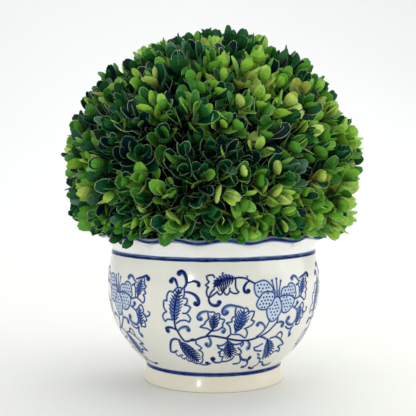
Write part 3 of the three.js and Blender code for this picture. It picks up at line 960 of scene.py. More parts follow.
# Kinds of template vertex, and zones of template face
TOP, TOP_EDGE, RIM_EDGE, BELOW = range(4)
ON_TOP, ON_RIM, ON_BACK = range(3)
LEAF_THICKNESS, TIP_THINNING = 0.34, 0.2
# How a blade's tip turns down: by how much, from where and over what share of it
SPOON, SPOON_START, SPOON_SHARE = 0.35, 0.55, 0.45
# A blade that is flatter than this is bent by this much
NO_BEND = 1e-3


# The blade's outline: its power at the foot and how much less that is at the tip, its least
# half width, and how far towards the tip it is widest
FOOT_POWER, POWER_LOSS, LEAST_HALF, SKEW = 0.95, 0.47, 0.09, 1.4


def leaf_half_width(along):
    """The outline of an obovate blade, as a share of its half width."""
    power = FOOT_POWER - POWER_LOSS * smoothstep(0.3, 1.0, along)
    return np.maximum(LEAST_HALF, np.sin(math.pi * np.clip(along, 0, 1) ** SKEW) ** power)


def leaf_template(leaf_rows, shares):
    """Across, along, sink and kind of each template vertex, and the faces with their zones."""
    rows = len(leaf_rows)
    spots = []

    def add(*spot):
        """Notes a vertex and gives its number."""
        spots.append(spot)
        return len(spots) - 1

    width = leaf_half_width(leaf_rows)
    shares = [-INNER_SHARE, *shares, INNER_SHARE]
    tops = [[] for _ in shares]
    unders = [[] for _ in shares[1:-1]]
    for row, along in enumerate(leaf_rows):
        for column, share in enumerate(shares):
            across = share * width[row]
            back = TIP_BACK * (1 - 0.7 * abs(share) / INNER_SHARE) if row == rows - 1 else 0.0
            edge = row in (0, rows - 1) or abs(share) == INNER_SHARE
            tops[column].append(add(across, along - back, 0, TOP_EDGE if edge else TOP))
            if abs(share) < INNER_SHARE:
                unders[column - 1].append(add(across, along - 0.6 * back, 1.0, BELOW))
    left, right = [], []
    for half, along in zip(width, leaf_rows[:-1]):
        left.append(add(-half, along, 0.5, RIM_EDGE))
        right.append(add(half, along, 0.5, RIM_EDGE))
    tip = []
    for share in shares:
        across = TIP_WIDTH * share / INNER_SHARE
        tip.append(add(across * width[-1], 1 - TIP_SAG * (1 - across * across), 0.5, RIM_EDGE))
    faces = []
    for first, second in zip(tops[:-1], tops[1:]):
        for row in range(rows - 1):
            faces.append(((second[row], second[row + 1], first[row + 1], first[row]), ON_TOP))
    outer = left + tip + right[::-1]
    inner = tops[0][:-1] + [column[-1] for column in tops] + tops[-1][:-1][::-1]
    for k in range(len(outer) - 1):
        faces.append(((inner[k], inner[k + 1], outer[k + 1], outer[k]), ON_RIM))
    backs = [left + [tip[0]], *unders, right + [tip[-1]]]
    for first, second in zip(backs[:-1], backs[1:]):
        for row in range(rows - 1):
            faces.append(((first[row], first[row + 1], second[row + 1], second[row]), ON_BACK))
    ends = [tip[0], *(column[-1] for column in unders), tip[-1]]
    base = [left[0], *(column[0] for column in unders), right[0]]
    for k in range(len(tip) - 1):
        faces.append(((tip[k], tip[k + 1], ends[k + 1], ends[k]), ON_BACK))
        faces.append(((tops[k][0], base[k], base[k + 1], tops[k + 1][0]), ON_BACK))
    return (*map(np.array, zip(*spots)), faces)


def blade_points(leaves, across, along, sink):
    """Every leaf's points: the template bent, cupped, folded, twisted and set in its place."""
    names = ("length", "width", "arch", "cup", "fold", "twist", "sway")
    length, width, arch, cup, fold, twist, sway = (leaves[name][:, None] for name in names)
    across, along, sink = across[None, :], along[None, :], sink[None, :]
    half = 0.5 * width
    bend = arch * along
    safe = np.where(np.abs(arch) < NO_BEND, NO_BEND, arch)
    x = half * across
    y = length * np.sin(bend) / safe
    z = -length * (1 - np.cos(bend)) / safe
    spoon = SPOON * np.clip((along - SPOON_START) / SPOON_SHARE, 0, 1) ** 2
    z = z - cup * half * (across * across + spoon)
    z = z + fold * half * np.abs(across)
    z = z - LEAF_THICKNESS * (1 - TIP_THINNING * along) * sink
    turn = twist * along
    x, z = x * np.cos(turn) - z * np.sin(turn), x * np.sin(turn) + z * np.cos(turn)
    x = x + sway * along ** 2 * length
    side, way, top = (leaves[name][:, None, :] for name in ("side", "way", "top"))
    return leaves["base"][:, None, :] + x[..., None] * side + y[..., None] * way + z[..., None] * top


def make_leaves(name, leaves, leaf_rows, shares, tints, pale_rim_highlights, unders):
    """One mesh of many leaves. leaves is a dict of arrays, one entry for each leaf."""
    across, along, sink, kind, faces = leaf_template(leaf_rows, shares)
    count = len(leaves["length"])
    points = blade_points(leaves, across, along, sink)
    triangles, zone, level = [], [], []
    for face, part in faces:
        corners = list(dict.fromkeys(face))
        for k in range(1, len(corners) - 1):
            triangles.append([corners[0], corners[k], corners[k + 1]])
            zone.append(part)
            # Each triangle's step of painted shade, by how far along the leaf it lies
            level.append(np.searchsorted(PAINTED_SHADE_ENDS, along[corners].mean()))
    triangles, zone, level = np.array(triangles), np.array(zone)[None], np.array(level)[None]
    size = points.shape[1]
    all_faces = triangles[None] + (np.arange(count) * size)[:, None, None]
    tint, rim, under = (leaves[key][:, None] for key in ("tint", "rim", "under"))
    steps = len(PAINTED_SHADE_LEVELS)
    # Tops and undersides take their tint in their step of painted shade
    shade = np.where(zone == ON_TOP, tint * steps + level,
                     np.where(zone == ON_RIM, len(tints) + rim,
                              len(tints) + len(pale_rim_highlights) + under * steps + level))
    piece = mesh_piece(name, points, all_faces.reshape(-1, 3), tints + pale_rim_highlights + unders, shade.ravel())
    mesh = piece.data
    pairs = np.zeros(len(mesh.edges) * 2, np.int32)
    mesh.edges.foreach_get("vertices", pairs)
    ends = np.tile(kind, count)[pairs.reshape(-1, 2)]
    sharp = (ends[:, 0] == ends[:, 1]) & (ends[:, 0] >= TOP_EDGE) & (ends[:, 0] <= RIM_EDGE)
    mesh.attributes.new("sharp_edge", "BOOLEAN", "EDGE").data.foreach_set("value", sharp)
    layer = mesh.uv_layers.new(name="blade")
    loops = np.zeros(len(mesh.loops), np.int32)
    mesh.loops.foreach_get("vertex_index", loops)
    spot = np.stack([0.5 + 0.5 * across, along], -1)[loops % size]
    layer.data.foreach_set("uv", spot.astype(np.float32).ravel())
    return piece


# Tubes for stem, boughs and twigs. Their bark has sets of so many ridges round it.
# The sets drift round the wood in waves between these lengths, and fine roughness is added.
RIDGES, DRIFT, DRIFT_LENGTHS, ROUGHNESS = (3, 5, 8, 13), 0.9, (4, 9), 0.35
# A line that is steeper than this, as its share of up, takes X and not Z as its helper
STRAIGHT_UP = 0.9


def tubes(name, paths, sides, material, furrow=0.0):
    """One mesh of closed tapering tubes. A path is (points, radii). Furrow roughens them."""
    points, faces, start = [], [], 0
    ring = np.linspace(0, math.tau, sides, endpoint=False)
    random = rng(SEEDS["bark"])
    for line, radii in paths:
        line = np.asarray(line, float)
        along = unit(np.gradient(line, axis=0))
        helper = np.where(np.abs(along[:, 2:3]) < STRAIGHT_UP, [[0, 0, 1.0]], [[1.0, 0, 0]])
        side = unit(np.cross(along, helper))
        other = np.cross(along, side)
        rough = np.ones((len(line), sides))
        if furrow:
            down = length_along(line)
            for ridges in RIDGES:
                if ridges < sides / 3:
                    drift = random.uniform(0, ANY_TURN)
                    drift = drift + DRIFT * np.sin(down / random.uniform(*DRIFT_LENGTHS))
                    wave = np.sin(ridges * ring[None] + drift[:, None])
                    rough += furrow * (1 - np.abs(wave)) * random.uniform(0.5, 1) - 0.3 * furrow
            rough += furrow * ROUGHNESS * random.normal(size=rough.shape)
        rings = (line[:, None] + np.asarray(radii)[:, None, None] * rough[..., None]
                 * (np.cos(ring)[None, :, None] * side[:, None]
                    + np.sin(ring)[None, :, None] * other[:, None]))
        rows = len(line)
        points += [rings.reshape(-1, 3), line[[0, -1]]]
        quad = stacked_faces(rows, sides) + start
        faces += [quad[:, [0, 2, 1]], quad[:, [0, 3, 2]]]
        j = np.arange(sides)
        following = (j + 1) % sides
        first = start + rows * sides
        top = start + (rows - 1) * sides
        faces.append(np.stack([start + j, start + following, np.full(sides, first)], -1))
        faces.append(np.stack([top + following, top + j, np.full(sides, first + 1)], -1))
        start += rows * sides + 2
    return mesh_piece(name, np.concatenate(points), np.concatenate(faces), [material])


def bent(start, end, steps, bow, random):
    """A gently bowed line between two points. Bow is a share of its length."""
    start, end = np.asarray(start, float), np.asarray(end, float)
    share = np.linspace(0, 1, steps)[:, None]
    push = random.normal(size=3) * bow * np.linalg.norm(end - start)
    return start + (end - start) * share + push * np.sin(math.pi * share)


# Growing the crown
SPRIGS = 430
# How a sprig's axis wanders, how far its tip is pulled in, and how often
WANDERS, WANDER_SHARES = (0.09, 0.2), (0.72, 0.28)
PULLS, PULL_SHARES = (-1, 1, 4, 10), (0.40, 0.28, 0.20, 0.12)
# Rings of sprigs that hang over the rim: how many, radius, height and fall in degrees
SKIRTS = ((44, 86, 117, 8), (50, 94, 114.5, 24), (46, 101, 121, 10))
# A dark tuft over the rim at the front left: angle, radius, height and fall in radians
TUFT = ((-0.60, 93, 107, 0.8), (-0.69, 95, 106, 0.75), (-0.78, 97, 108, 0.6))
TUFT_FRESH = -2.5
# The lowest direction of a sprig from the crown's centre, as its share of up
LOWEST = math.cos(math.radians(119))
# Where boughs leave the stem: beside its middle, between a lowest and a highest fork
BOUGH_FOOT, FORKS = (0.7, -0.5), (112, STEM_TOP - 2)
BOUGH_SAG = 4
# Boughs and limbs: how many, steps, reach as a share of the crown, and radii at both ends
BOUGHS, BOUGH_STEPS, BOUGH_REACH, BOUGH_RADII = 18, 16, 0.40, (2.6, 1.5)
LIMBS, LIMB_STEPS, LIMB_REACH, LIMB_RADII = 110, 12, 0.58, (1.35, 0.8)
TWIG_RADII = (0.75, 0.4)
# How far each kind bows, as a share of its length
BOUGH_BOW, LIMB_BOW, TWIG_BOW = 0.06, 0.07, 0.05
# Under the rim's height a twig stays outside this radius
TWIG_RADIUS = 87
# Clumps of sprigs that lean one way: how many, how far they lean and how wide each is
CLUMPS, CLUMP_LEAN, CLUMP_SPREAD, CLUMP_FRESH = 56, 0.5, 0.022, 0.8
# How much the sprigs at the front and the back lean out towards the ball's outline
COMBED = 0.9
# The lowest that a leaf hangs outside the rim, how far out that starts, and how far over the
# rim it stays
HANG = 103
HANG_RADIUS = 87.6
LEAF_CLEARANCE = 0.6
# The pot's rim and inside as radius and height, which no leaf goes under
RIM_RADII = [0, 70, 72.1, 76.1, 81.5, 84.2, 86.0, 86.6]
RIM_HEIGHTS = [102, 102, 102, 106, 112.6, 113.0, 112.2, 108.0]
# How far each pair of leaves opens from its sprig, in degrees, from the tip down
OPENING = (15, 29, 38, 45, 51, 55, 58)
WIDEST_OPENING = 62
# A sprig ends this far inside its leaves' tips, and pairs from this place down are hidden
SPRIG_TIP = 12.0
HIDDEN_PLACE = 4
# A tip leaf's length, and how much longer the leaves get over the first places
TIP_LEAF, LEAF_GAIN, GAIN_PLACES = 14, 5.8, 1.5
# Ranges for a sprig: its size, the gap between its pairs and how wide the pairs spread
SPRIG_SIZE, PAIR_GAP, PAIR_SPREAD = (0.88, 1.1), (4.4, 6.6), (0.75, 1.35)
# Ranges for its leaves: most are bent and cupped towards the sprig's axis, the rest away
BENT_IN, BENT_OUT, CUPPED_IN, CUPPED_OUT = (-0.3, 0.0), (0, 0.25), (-0.4, -0.05), (0.05, 0.3)
# Ranges for one leaf: its length, its width as a share of that, and its fold
LEAF_SIZE, LEAF_SHAPE, LEAF_FOLD = (0.9, 1.1), (0.48, 0.62), (0.0, 0.24)
# How far a leaf strays from the rule, its pair's opening in degrees
STRAY = {"opening": 2.5, "pair": 0.12, "turn": 0.1, "lean": 0.07, "roll": 0.14, "loose": 0.6,
         "arch": 0.12, "cup": 0.08, "twist": 0.12, "sway": 0.05}
# Middles of a hollow, darkened with painted shade, and a patch brightened with painted light, low at the
# front, and how far they spread
HOLLOW, HOLLOW_SPREAD = unit(np.array([-0.22, -1.0, -0.12])), 0.07
LIT, LIT_SPREAD = unit(np.array([0.26, -0.94, -0.2])), 0.025
# The painted shade that the hollow takes from a sprig's tint and how far it pulls sprigs in, the painted
# light that the patch adds, and the painted shade of sprigs over the rim by the hollow
HOLLOW_PAINTED_SHADE, HOLLOW_PULL, LIT_PAINTED_LIGHT, RIM_HOLLOW_PAINTED_SHADE = 1.1, 4, 1.6, 2.2
# Every sprig points a little upwards. Those over the rim stray within these ranges, in turn,
# outwards, upwards and in degrees of their fall, and sideways by this much.
RISE = np.array([0, 0, 0.1])
SKIRT_TURN, SKIRT_OUT, SKIRT_UP, SKIRT_FALL = (-0.3, 0.3), (-4, 4), (-1.5, 3), (-9, 9)
SKIRT_SWAY = 0.35
# How much a sprig bows, how far from its axis a leaf starts, and the shares of sprigs whose
# leaves bend and cup inwards, and of leaves that roll little and that have the darker rim
SPRIG_BOW, LEAF_START = 1.6, 0.35
BENT_IN_SHARE, CUPPED_IN_SHARE, STEADY_SHARE, DARK_RIM_SHARE = 0.85, 0.8, 0.9, 0.4
# Where a leaf is tested against the pot: shares of its length, and of its width to each side
TEST_LENGTHS, TEST_WIDTH = (0.25, 0.5, 0.75, 1.0), 0.45
# How far directions stray from an even spread
CLUMP_JITTER, SPRIG_JITTER, BOUGH_JITTER, LIMB_JITTER = 0.1, 0.035, 0.08, 0.05
LEAF_KEYS = ("base", "way", "side", "top", "length", "width", "arch", "cup", "fold", "twist",
             "sway", "tint", "rim", "under", "place")


def even_directions(count, seed, jitter):
    """Directions spread evenly over the ball, down to where it meets the rim."""
    random = rng(seed)
    index = np.arange(count) + 0.5
    up = 1 - (1 - LOWEST) * index / count
    turn = index * math.pi * (3 - math.sqrt(5))
    flat = np.sqrt(1 - up * up)
    way = np.stack([flat * np.cos(turn), flat * np.sin(turn), up], -1)
    return unit(way + random.normal(size=way.shape) * jitter)


def over_pot(points):
    """How far points are from the pot's axis, and the height of its rim and inside there."""
    radius = np.hypot(points[:, 0], points[:, 1])
    angle = np.arctan2(points[:, 0], -points[:, 1])
    wave = np.cos(SCALLOPS * (angle - SCALLOP_LOW))
    height = np.interp(radius - SCALLOP_BULGE * wave, RIM_RADII, RIM_HEIGHTS)
    return radius, height - SCALLOP_DROP * wave


def clear_of_pot(leaf):
    """Whether each leaf, as a few points along and across it, stays clear of the pot."""
    base, way, length, width, side = (leaf[key] for key in ("base", "way", "length", "width", "side"))
    ok = np.ones(len(base), bool)
    for along in TEST_LENGTHS:
        for sway in (-1, 0, 1):
            at = (base + way * (length * along)[:, None]
                  + side * (TEST_WIDTH * sway * width)[:, None])
            radius, height = over_pot(at)
            over = radius < HANG_RADIUS
            inside = over & (at[:, 2] < height + LEAF_CLEARANCE)
            below = ~over & (at[:, 2] < HANG)
            ok &= ~(inside | below)
    return ok


def clear_line(line):
    """Whether a twig stays clear of the pot."""
    radius, height = over_pot(line)
    return bool(np.all((radius > TWIG_RADIUS) | (line[:, 2] > height + 1)))


def clump_field(seed):
    """Clumps over the ball: their directions, how each leans and how fresh it is."""
    random = rng(seed)
    places = even_directions(CLUMPS, seed, CLUMP_JITTER)
    leans = random.normal(size=(CLUMPS, 3)) * CLUMP_LEAN
    fresh = random.normal(size=CLUMPS) * CLUMP_FRESH
    return places, leans, fresh


def clump_at(field, way):
    """How the clumps near a direction lean, sideways only, and how fresh they are."""
    places, leans, fresh = field
    weight = np.exp(-(1 - places @ way) / CLUMP_SPREAD)
    weight = weight / weight.sum()
    lean = weight @ leans
    return lean - way * (lean @ way), float(weight @ fresh)


def nearness(way, middle, spread):
    """How near a direction is to the middle of a patch, from 0 to 1."""
    return math.exp((float(way @ middle) - 1) / spread)


def fallen(out, fall):
    """A way outwards, turned down by an angle."""
    return out * math.cos(fall) - [0, 0, math.sin(fall)]


def sprig_list(random, centre, reach):
    """Each sprig's tip, axis, direction and freshness: over the ball, then over the rim.
    Its tint is darkened as painted shade in the hollow low at the front, and brightened as painted light
    in the patch beside it."""
    field = clump_field(SEEDS["clumps"])
    sprigs = []
    for way in even_directions(SPRIGS, SEEDS["sprigs"], SPRIG_JITTER):
        lean, fresh = clump_at(field, way)
        tip = centre + way * reach(way)
        wander = random.choice(WANDERS, p=WANDER_SHARES)
        combed = COMBED * abs(way[1]) * np.array([way[0], 0.0, way[2]])
        axis = unit(way + RISE + combed + lean + random.normal(size=3) * wander)
        shade, lit = nearness(way, HOLLOW, HOLLOW_SPREAD), nearness(way, LIT, LIT_SPREAD)
        pull_back = random.choice(PULLS, p=PULL_SHARES) + HOLLOW_PULL * shade
        fresh = fresh - HOLLOW_PAINTED_SHADE * shade + LIT_PAINTED_LIGHT * lit
        sprigs.append((tip - way * pull_back, axis, way, fresh))
    for ring, (count, radius, height, drop) in enumerate(SKIRTS):
        for k in range(count):
            turn = math.tau * (k + 0.5 * ring + random.uniform(*SKIRT_TURN)) / count
            out = np.array([math.cos(turn), math.sin(turn), 0.0])
            tip = out * (radius + random.uniform(*SKIRT_OUT))
            tip = tip + [0, 0, height + random.uniform(*SKIRT_UP)]
            fall = math.radians(drop + random.uniform(*SKIRT_FALL))
            around_way = np.array([-out[1], out[0], 0.0])
            axis = unit(fallen(out, fall) + around_way * random.normal() * SKIRT_SWAY)
            way = unit(tip - centre)
            shade = nearness(way, HOLLOW, HOLLOW_SPREAD)
            sprigs.append((tip, axis, way, clump_at(field, way)[1] - RIM_HOLLOW_PAINTED_SHADE * shade))
    for turn, radius, height, fall in TUFT:
        out = np.array([math.sin(turn), -math.cos(turn), 0.0])
        tip = out * radius + [0, 0, height]
        sprigs.append((tip, unit(fallen(out, fall)), unit(tip - centre), TUFT_FRESH))
    return sprigs


def mostly(share, usual, other, random):
    """A draw from the usual range this often, or else from the other one."""
    return random.uniform(*(usual if random.random() < share else other))


def sprig_leaves(sprig, joint, random):
    """A sprig's twig, from the limb's end at the joint, and its leaves, pair by pair."""
    tip, axis, way, fresh = sprig
    size = random.uniform(*SPRIG_SIZE)
    end = tip - axis * SPRIG_TIP * size
    helper = np.array([0, 0, 1.0]) if abs(axis[2]) < STRAIGHT_UP else np.array([1.0, 0, 0])
    side_a = unit(np.cross(axis, helper))
    side_b = np.cross(axis, side_a)
    turn = random.uniform(0, math.pi)
    bow = random.normal(size=3) * SPRIG_BOW
    gap = random.uniform(*PAIR_GAP)
    pairs = len(OPENING)
    foot = end - axis * (gap * (pairs - 1))
    twig = np.concatenate([bent(joint, foot, 4, TWIG_BOW, random)[:-1], np.linspace(foot, end, 5)])
    tint = pick_tint(way, fresh, random)
    below = under_tint(tint, 0, random)
    spread = random.uniform(*PAIR_SPREAD)
    closing = mostly(BENT_IN_SHARE, BENT_IN, BENT_OUT, random)
    cup = mostly(CUPPED_IN_SHARE, CUPPED_IN, CUPPED_OUT, random)
    leaves = []
    for k in range(pairs):
        share = k / (pairs - 1)
        at = end - axis * gap * k + bow * share * (1 - share)
        opening = min(WIDEST_OPENING, OPENING[k] * spread) + random.normal() * STRAY["opening"]
        angle = math.radians(opening)
        turn_k = turn + (k % 2) * math.pi / 2 + random.normal() * STRAY["pair"]
        for mirror in (0, math.pi):
            around_k = turn_k + mirror + random.normal() * STRAY["turn"]
            out = math.cos(around_k) * side_a + math.sin(around_k) * side_b
            lean = angle + random.normal() * STRAY["lean"]
            along = math.cos(lean) * axis + math.sin(lean) * out
            top = math.sin(lean) * axis - math.cos(lean) * out
            roll = random.normal() * STRAY["roll" if random.random() < STEADY_SHARE else "loose"]
            side = np.cross(along, top)
            side, top = (math.cos(roll) * side + math.sin(roll) * top,
                         math.cos(roll) * top - math.sin(roll) * side)
            length = size * (TIP_LEAF + LEAF_GAIN * min(1, k / GAIN_PLACES)) * random.uniform(*LEAF_SIZE)
            leaves.append((at + out * LEAF_START, along, side, top, length,
                           length * random.uniform(*LEAF_SHAPE),
                           closing + random.normal() * STRAY["arch"],
                           cup + random.normal() * STRAY["cup"], random.uniform(*LEAF_FOLD),
                           random.normal(0, STRAY["twist"]), random.normal(0, STRAY["sway"]),
                           leaf_tint(tint, k, random), int(random.random() < DARK_RIM_SHARE),
                           leaf_under(below, tint, k, random), k))
    return (twig, np.linspace(*TWIG_RADII, len(twig))), leaves


def grow():
    """The branching rule: boughs from the stem, limbs from the boughs, sprigs on the limbs."""
    random = rng(SEEDS["crown"])
    reach = crown_surface()
    centre = np.array([0, 0, float(CROWN_CENTRE)])
    sprigs = sprig_list(random, centre, reach)
    ways = np.array([sprig[2] for sprig in sprigs])
    boughs = even_directions(BOUGHS, SEEDS["boughs"], BOUGH_JITTER)
    limbs = even_directions(LIMBS, SEEDS["limbs"], LIMB_JITTER)
    limb_of = np.argmax(ways @ limbs.T, 1)
    bough_of = np.argmax(limbs @ boughs.T, 1)
    branches, twigs, leaves, forks, joints = [], [], [], [], []
    for way in boughs:
        height = np.interp(way[2], [-0.5, 1], FORKS)
        forks.append(centre + way * BOUGH_REACH * CROWN_RADIUS - [0, 0, BOUGH_SAG])
        line = bent([*BOUGH_FOOT, height], forks[-1], BOUGH_STEPS, BOUGH_BOW, random)
        branches.append((line, np.linspace(*BOUGH_RADII, BOUGH_STEPS)))
    for way, parent in zip(limbs, bough_of):
        joints.append(centre + way * LIMB_REACH * CROWN_RADIUS)
        line = bent(forks[parent], joints[-1], LIMB_STEPS, LIMB_BOW, random)
        branches.append((line, np.linspace(*LIMB_RADII, LIMB_STEPS)))
    for sprig, limb in zip(sprigs, limb_of):
        twig, own = sprig_leaves(sprig, joints[limb], random)
        leaves += own
        if clear_line(twig[0]):
            twigs.append(twig)
    leaf = {key: np.array(values) for key, values in zip(LEAF_KEYS, zip(*leaves))}
    keep = clear_of_pot(leaf)
    return branches, twigs, {key: values[keep] for key, values in leaf.items()}


# Leaf tints, dealt out by sprig, and undersides: name, colour, roughness and specular level.
# The last of each is painted shade: a near-black for leaves deep inside.
TINTS = [
    # Painted shade: a blackish green, dealt to sprigs and to leaves deep in a sprig, that stands in for
    # leaves in shade
    ("leaf_deep_painted_shade", linear(0, 33, 40), 0.30, 0.22),
    ("leaf_dark", linear(2, 70, 42), 0.32, 0.28),
    ("leaf_mid", linear(60, 130, 38), 0.36, 0.4),
    ("leaf_green", linear(118, 182, 56), 0.38, 0.5),
    ("leaf_fresh", linear(162, 206, 76), 0.40, 0.5),
    ("leaf_lime", linear(192, 218, 108), 0.42, 0.5),
    ("leaf_olive", linear(158, 166, 54), 0.44, 0.5),
    # Painted sheen: a grey-green that stands in for the satin sheen on dark leaves
    ("leaf_grey_painted_sheen", linear(66, 112, 88), 0.32, 0.5),
    ("leaf_brown", linear(118, 104, 50), 0.5, 0.5),
    ("leaf_painted_deep_shade", linear(0, 10, 20), 0.6, 0.1),
]
UNDERS = [
    ("leaf_under_light", linear(182, 206, 98), 0.55, 0.5),
    ("leaf_under", linear(140, 192, 58), 0.55, 0.5),
    ("leaf_under_mid", linear(88, 154, 46), 0.5, 0.35),
    ("leaf_under_dark", linear(26, 88, 42), 0.42, 0.25),
    ("leaf_under_painted_deep_shade", linear(0, 10, 20), 0.7, 0.1),
]
# For each tint but the last: how often it comes, how that shifts on fresh sprigs, how often
# its underside is light, and the tints that its sprig mixes in
TINT_WEIGHTS = np.array([0.15, 0.22, 0.22, 0.15, 0.10, 0.06, 0.04, 0.05, 0.01])
TINT_TILTS = np.array([-1, -0.8, -0.2, 0.4, 0.9, 1.0, 0.6, -0.4, 0.0])
LIGHT_UNDERS = (0.04, 0.10, 0.25, 0.5, 0.75, 0.95, 0.7, 0.05, 0.2)
NEIGHBOURS = ([0, 1, 2, 7], [0, 2, 3, 1], [1, 1, 3, 4], [1, 2, 2, 4], [2, 3, 3, 5], [3, 4, 4, 6],
              [2, 4, 3, 1], [7, 0, 2, 1], [8, 6, 7, 1])
DARK_TINTS = (0, 1, 7)
# How often a light underside is the second of the two, how often another one is the dark one,
# on other sprigs and on dark ones, and how often a leaf has its sprig's tint and underside
SECOND_UNDER, DARK_UNDERS, OWN_TINT, OWN_UNDER = 0.6, (0.35, 0.8), 0.55, 0.5
DEEP_SHADE_TINT, DEEP_SHADE_UNDER = len(TINTS) - 1, len(UNDERS) - 1
# How much brighter a sprig's tint is to the right and lower down, as painted light, and how much fresher
# by its clump
PAINTED_LIGHT_RIGHT, PAINTED_LIGHT_LOW, FRESH_CLUMP = 1.25, 0.15, 0.85


def pick_tint(way, fresh, random):
    """A sprig's tint: brighter on the right and a little lower down as painted light, and fresher by
    clump.
    """
    bright = PAINTED_LIGHT_RIGHT * way[0] - PAINTED_LIGHT_LOW * way[2] + FRESH_CLUMP * fresh
    weights = TINT_WEIGHTS * np.exp(bright * TINT_TILTS)
    return int(random.choice(len(weights), p=weights / weights.sum()))


def under_tint(tint, place, random):
    """The paler underside: darker on dark sprigs, and near-black deep inside as painted shade."""
    if place >= HIDDEN_PLACE:
        return DEEP_SHADE_UNDER
    if random.random() < LIGHT_UNDERS[tint]:
        return int(random.random() < SECOND_UNDER)
    return 2 + int(random.random() < DARK_UNDERS[tint in DARK_TINTS])


def leaf_tint(tint, place, random):
    """A leaf's own tint: mostly its sprig's or one near it, and darkened deep inside as painted shade."""
    if place >= HIDDEN_PLACE:
        return DEEP_SHADE_TINT
    # Painted shade: the pair above the deep inside takes the deep or the dark tint, or keeps its sprig's
    if place == HIDDEN_PLACE - 1:
        return int(random.choice([0, 1, tint]))
    if random.random() < OWN_TINT:
        return tint
    return int(random.choice(NEIGHBOURS[tint]))


def leaf_under(below, tint, place, random):
    """A leaf's own underside: its sprig's, or one picked for the leaf, and near-black deep inside as
    painted shade.
    """
    own = below if random.random() < OWN_UNDER else under_tint(tint, place, random)
    return own if place < HIDDEN_PLACE else DEEP_SHADE_UNDER


# A blade's relief in millimetres, and its parts: the rib's half width, the veins' slant, number
# and height against the rib, and the scale and height of its unevenness
LEAF_RELIEF = 0.34
RIB_WIDTH = 0.05
VEIN_SLANT, VEIN_STRIPES, VEIN_HEIGHT = 1.4, 62.0, 0.1
LEAF_WAVES, WAVE_HEIGHT = 210.0, 2.6
# No part of a colour with painted shade is over this
BRIGHTEST = 0.95


def leaf_material(name, colour, roughness, specular):
    """A blade with a raised midrib, slanting veins and a gentle unevenness."""
    material = new_material(name, colour, roughness, specular)
    place = node(material, "ShaderNodeUVMap", uv_map="blade")
    split = node(material, "ShaderNodeSeparateXYZ")
    link(material, place.outputs["UV"], split.inputs["Vector"])
    off = maths(material, "ABSOLUTE", maths(material, "SUBTRACT", split.outputs["X"], 0.5))
    rib = spread_to(material, off, 1.0, 0.0, 0.0, RIB_WIDTH)
    slant = maths(material, "MULTIPLY_ADD", off, -VEIN_SLANT, split.outputs["Y"])
    veins = maths(material, "SINE", maths(material, "MULTIPLY", slant, VEIN_STRIPES))
    height = maths(material, "MULTIPLY_ADD", veins, VEIN_HEIGHT, rib)
    waves = speckle(material, LEAF_WAVES)
    relief(material, maths(material, "MULTIPLY_ADD", waves, WAVE_HEIGHT, height), LEAF_RELIEF)
    return material


def with_painted_shade(entries):
    """Each tint in steps of painted shade, darker at a leaf's foot, brighter at its tip. The last, deep
    inside, in one.
    """
    made = []
    for name, colour, roughness, specular in entries[:-1]:
        for step, share in enumerate(PAINTED_SHADE_LEVELS):
            shade = tuple(min(BRIGHTEST, share * part) for part in colour[:3]) + (1.0,)
            made.append(leaf_material(f"{name}_{step + 1}", shade, roughness, specular))
    return made + [leaf_material(*entries[-1])] * len(PAINTED_SHADE_LEVELS)


# The outer leaves are cut into this many pieces round the ball, and the hidden ones into two
LEAF_PARTS = 5


def make_plant():
    """The leaves in seven pieces, then boughs, twigs and the stem."""
    tints = with_painted_shade(TINTS)
    # The leaves' pale rims: a paler margin that is partly painted highlight, for light caught along the
    # edges
    pale_rim_highlights = [new_material("leaf_rim_highlight", linear(172, 198, 142), 0.5),
            new_material("leaf_dim_rim_highlight", linear(104, 144, 88), 0.5)]
    unders = with_painted_shade(UNDERS)
    bark = barked("bark", linear(124, 106, 80), 0.85, linear(58, 44, 32), linear(160, 148, 122), 260)
    twig_bark = barked("twig_bark", linear(104, 100, 56), 0.7, linear(74, 62, 36),
                       linear(128, 124, 78), 520)
    branches, twigs, leaf = grow()
    angle = np.arctan2(leaf["base"][:, 1], leaf["base"][:, 0])
    group = np.floor((angle + math.pi) / math.tau * LEAF_PARTS).astype(int) % LEAF_PARTS
    group = np.where(leaf["place"] >= HIDDEN_PLACE, LEAF_PARTS + (angle > 0), group)
    pieces = []
    for part in range(LEAF_PARTS + 2):
        chosen = {key: values[group == part] for key, values in leaf.items()}
        outer = part < LEAF_PARTS
        rows, shares = (OUTER_ROWS, OUTER_SHARES) if outer else (HIDDEN_ROWS, HIDDEN_SHARES)
        piece = make_leaves(f"leaves_{part + 1}", chosen, rows, shares, tints, pale_rim_highlights, unders)
        pieces.append(piece)
    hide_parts("crown")
    for piece in (tubes("boughs", branches, 12, bark, furrow=0.07),
                  tubes("twigs", twigs, 5, twig_bark)):
        pieces.append(piece)
    for piece in pieces:
        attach(piece, "root")
    stem = tubes("bark_stem", [stem_path()], 72, bark, furrow=0.05)
    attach(stem, "root")
    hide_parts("stem")


# The stem: its steps, how far its top leans, its radius, how much it thins, and its root flare
STEM_STEPS, STEM_LEAN, STEM_RADIUS, STEM_THINNING = 90, (5, -2), 6.5, 2.9
ROOT_FLARE, FLARE_HEIGHT = 4, 9


def stem_path():
    height = np.linspace(STEM_FOOT, STEM_TOP, STEM_STEPS)
    share = np.linspace(0, 1, STEM_STEPS)
    line = np.stack([STEM_LEAN[0] * share ** 1.5, STEM_LEAN[1] * share, height], -1)
    flare = ROOT_FLARE * np.exp(-(height - STEM_FOOT) / FLARE_HEIGHT)
    return line, STEM_RADIUS - STEM_THINNING * share + flare


# Crumbs of the potting mix, and how high their bed is from its lowest to its highest
CRUMBS = 1100
CRUMB_SIZES = (0.8, 3.0)
CRUMB_RISE = 0.75
BED_BOTTOM, BED_HEIGHT = 2.6, 2.4
SOIL_SIDES, SOIL_RINGS, SOIL_ROWS = 200, 64, 16
# The gaps between the potting mix and the pot, at the side and below
SOIL_GAP, SOIL_LIFT = 0.6, 0.3


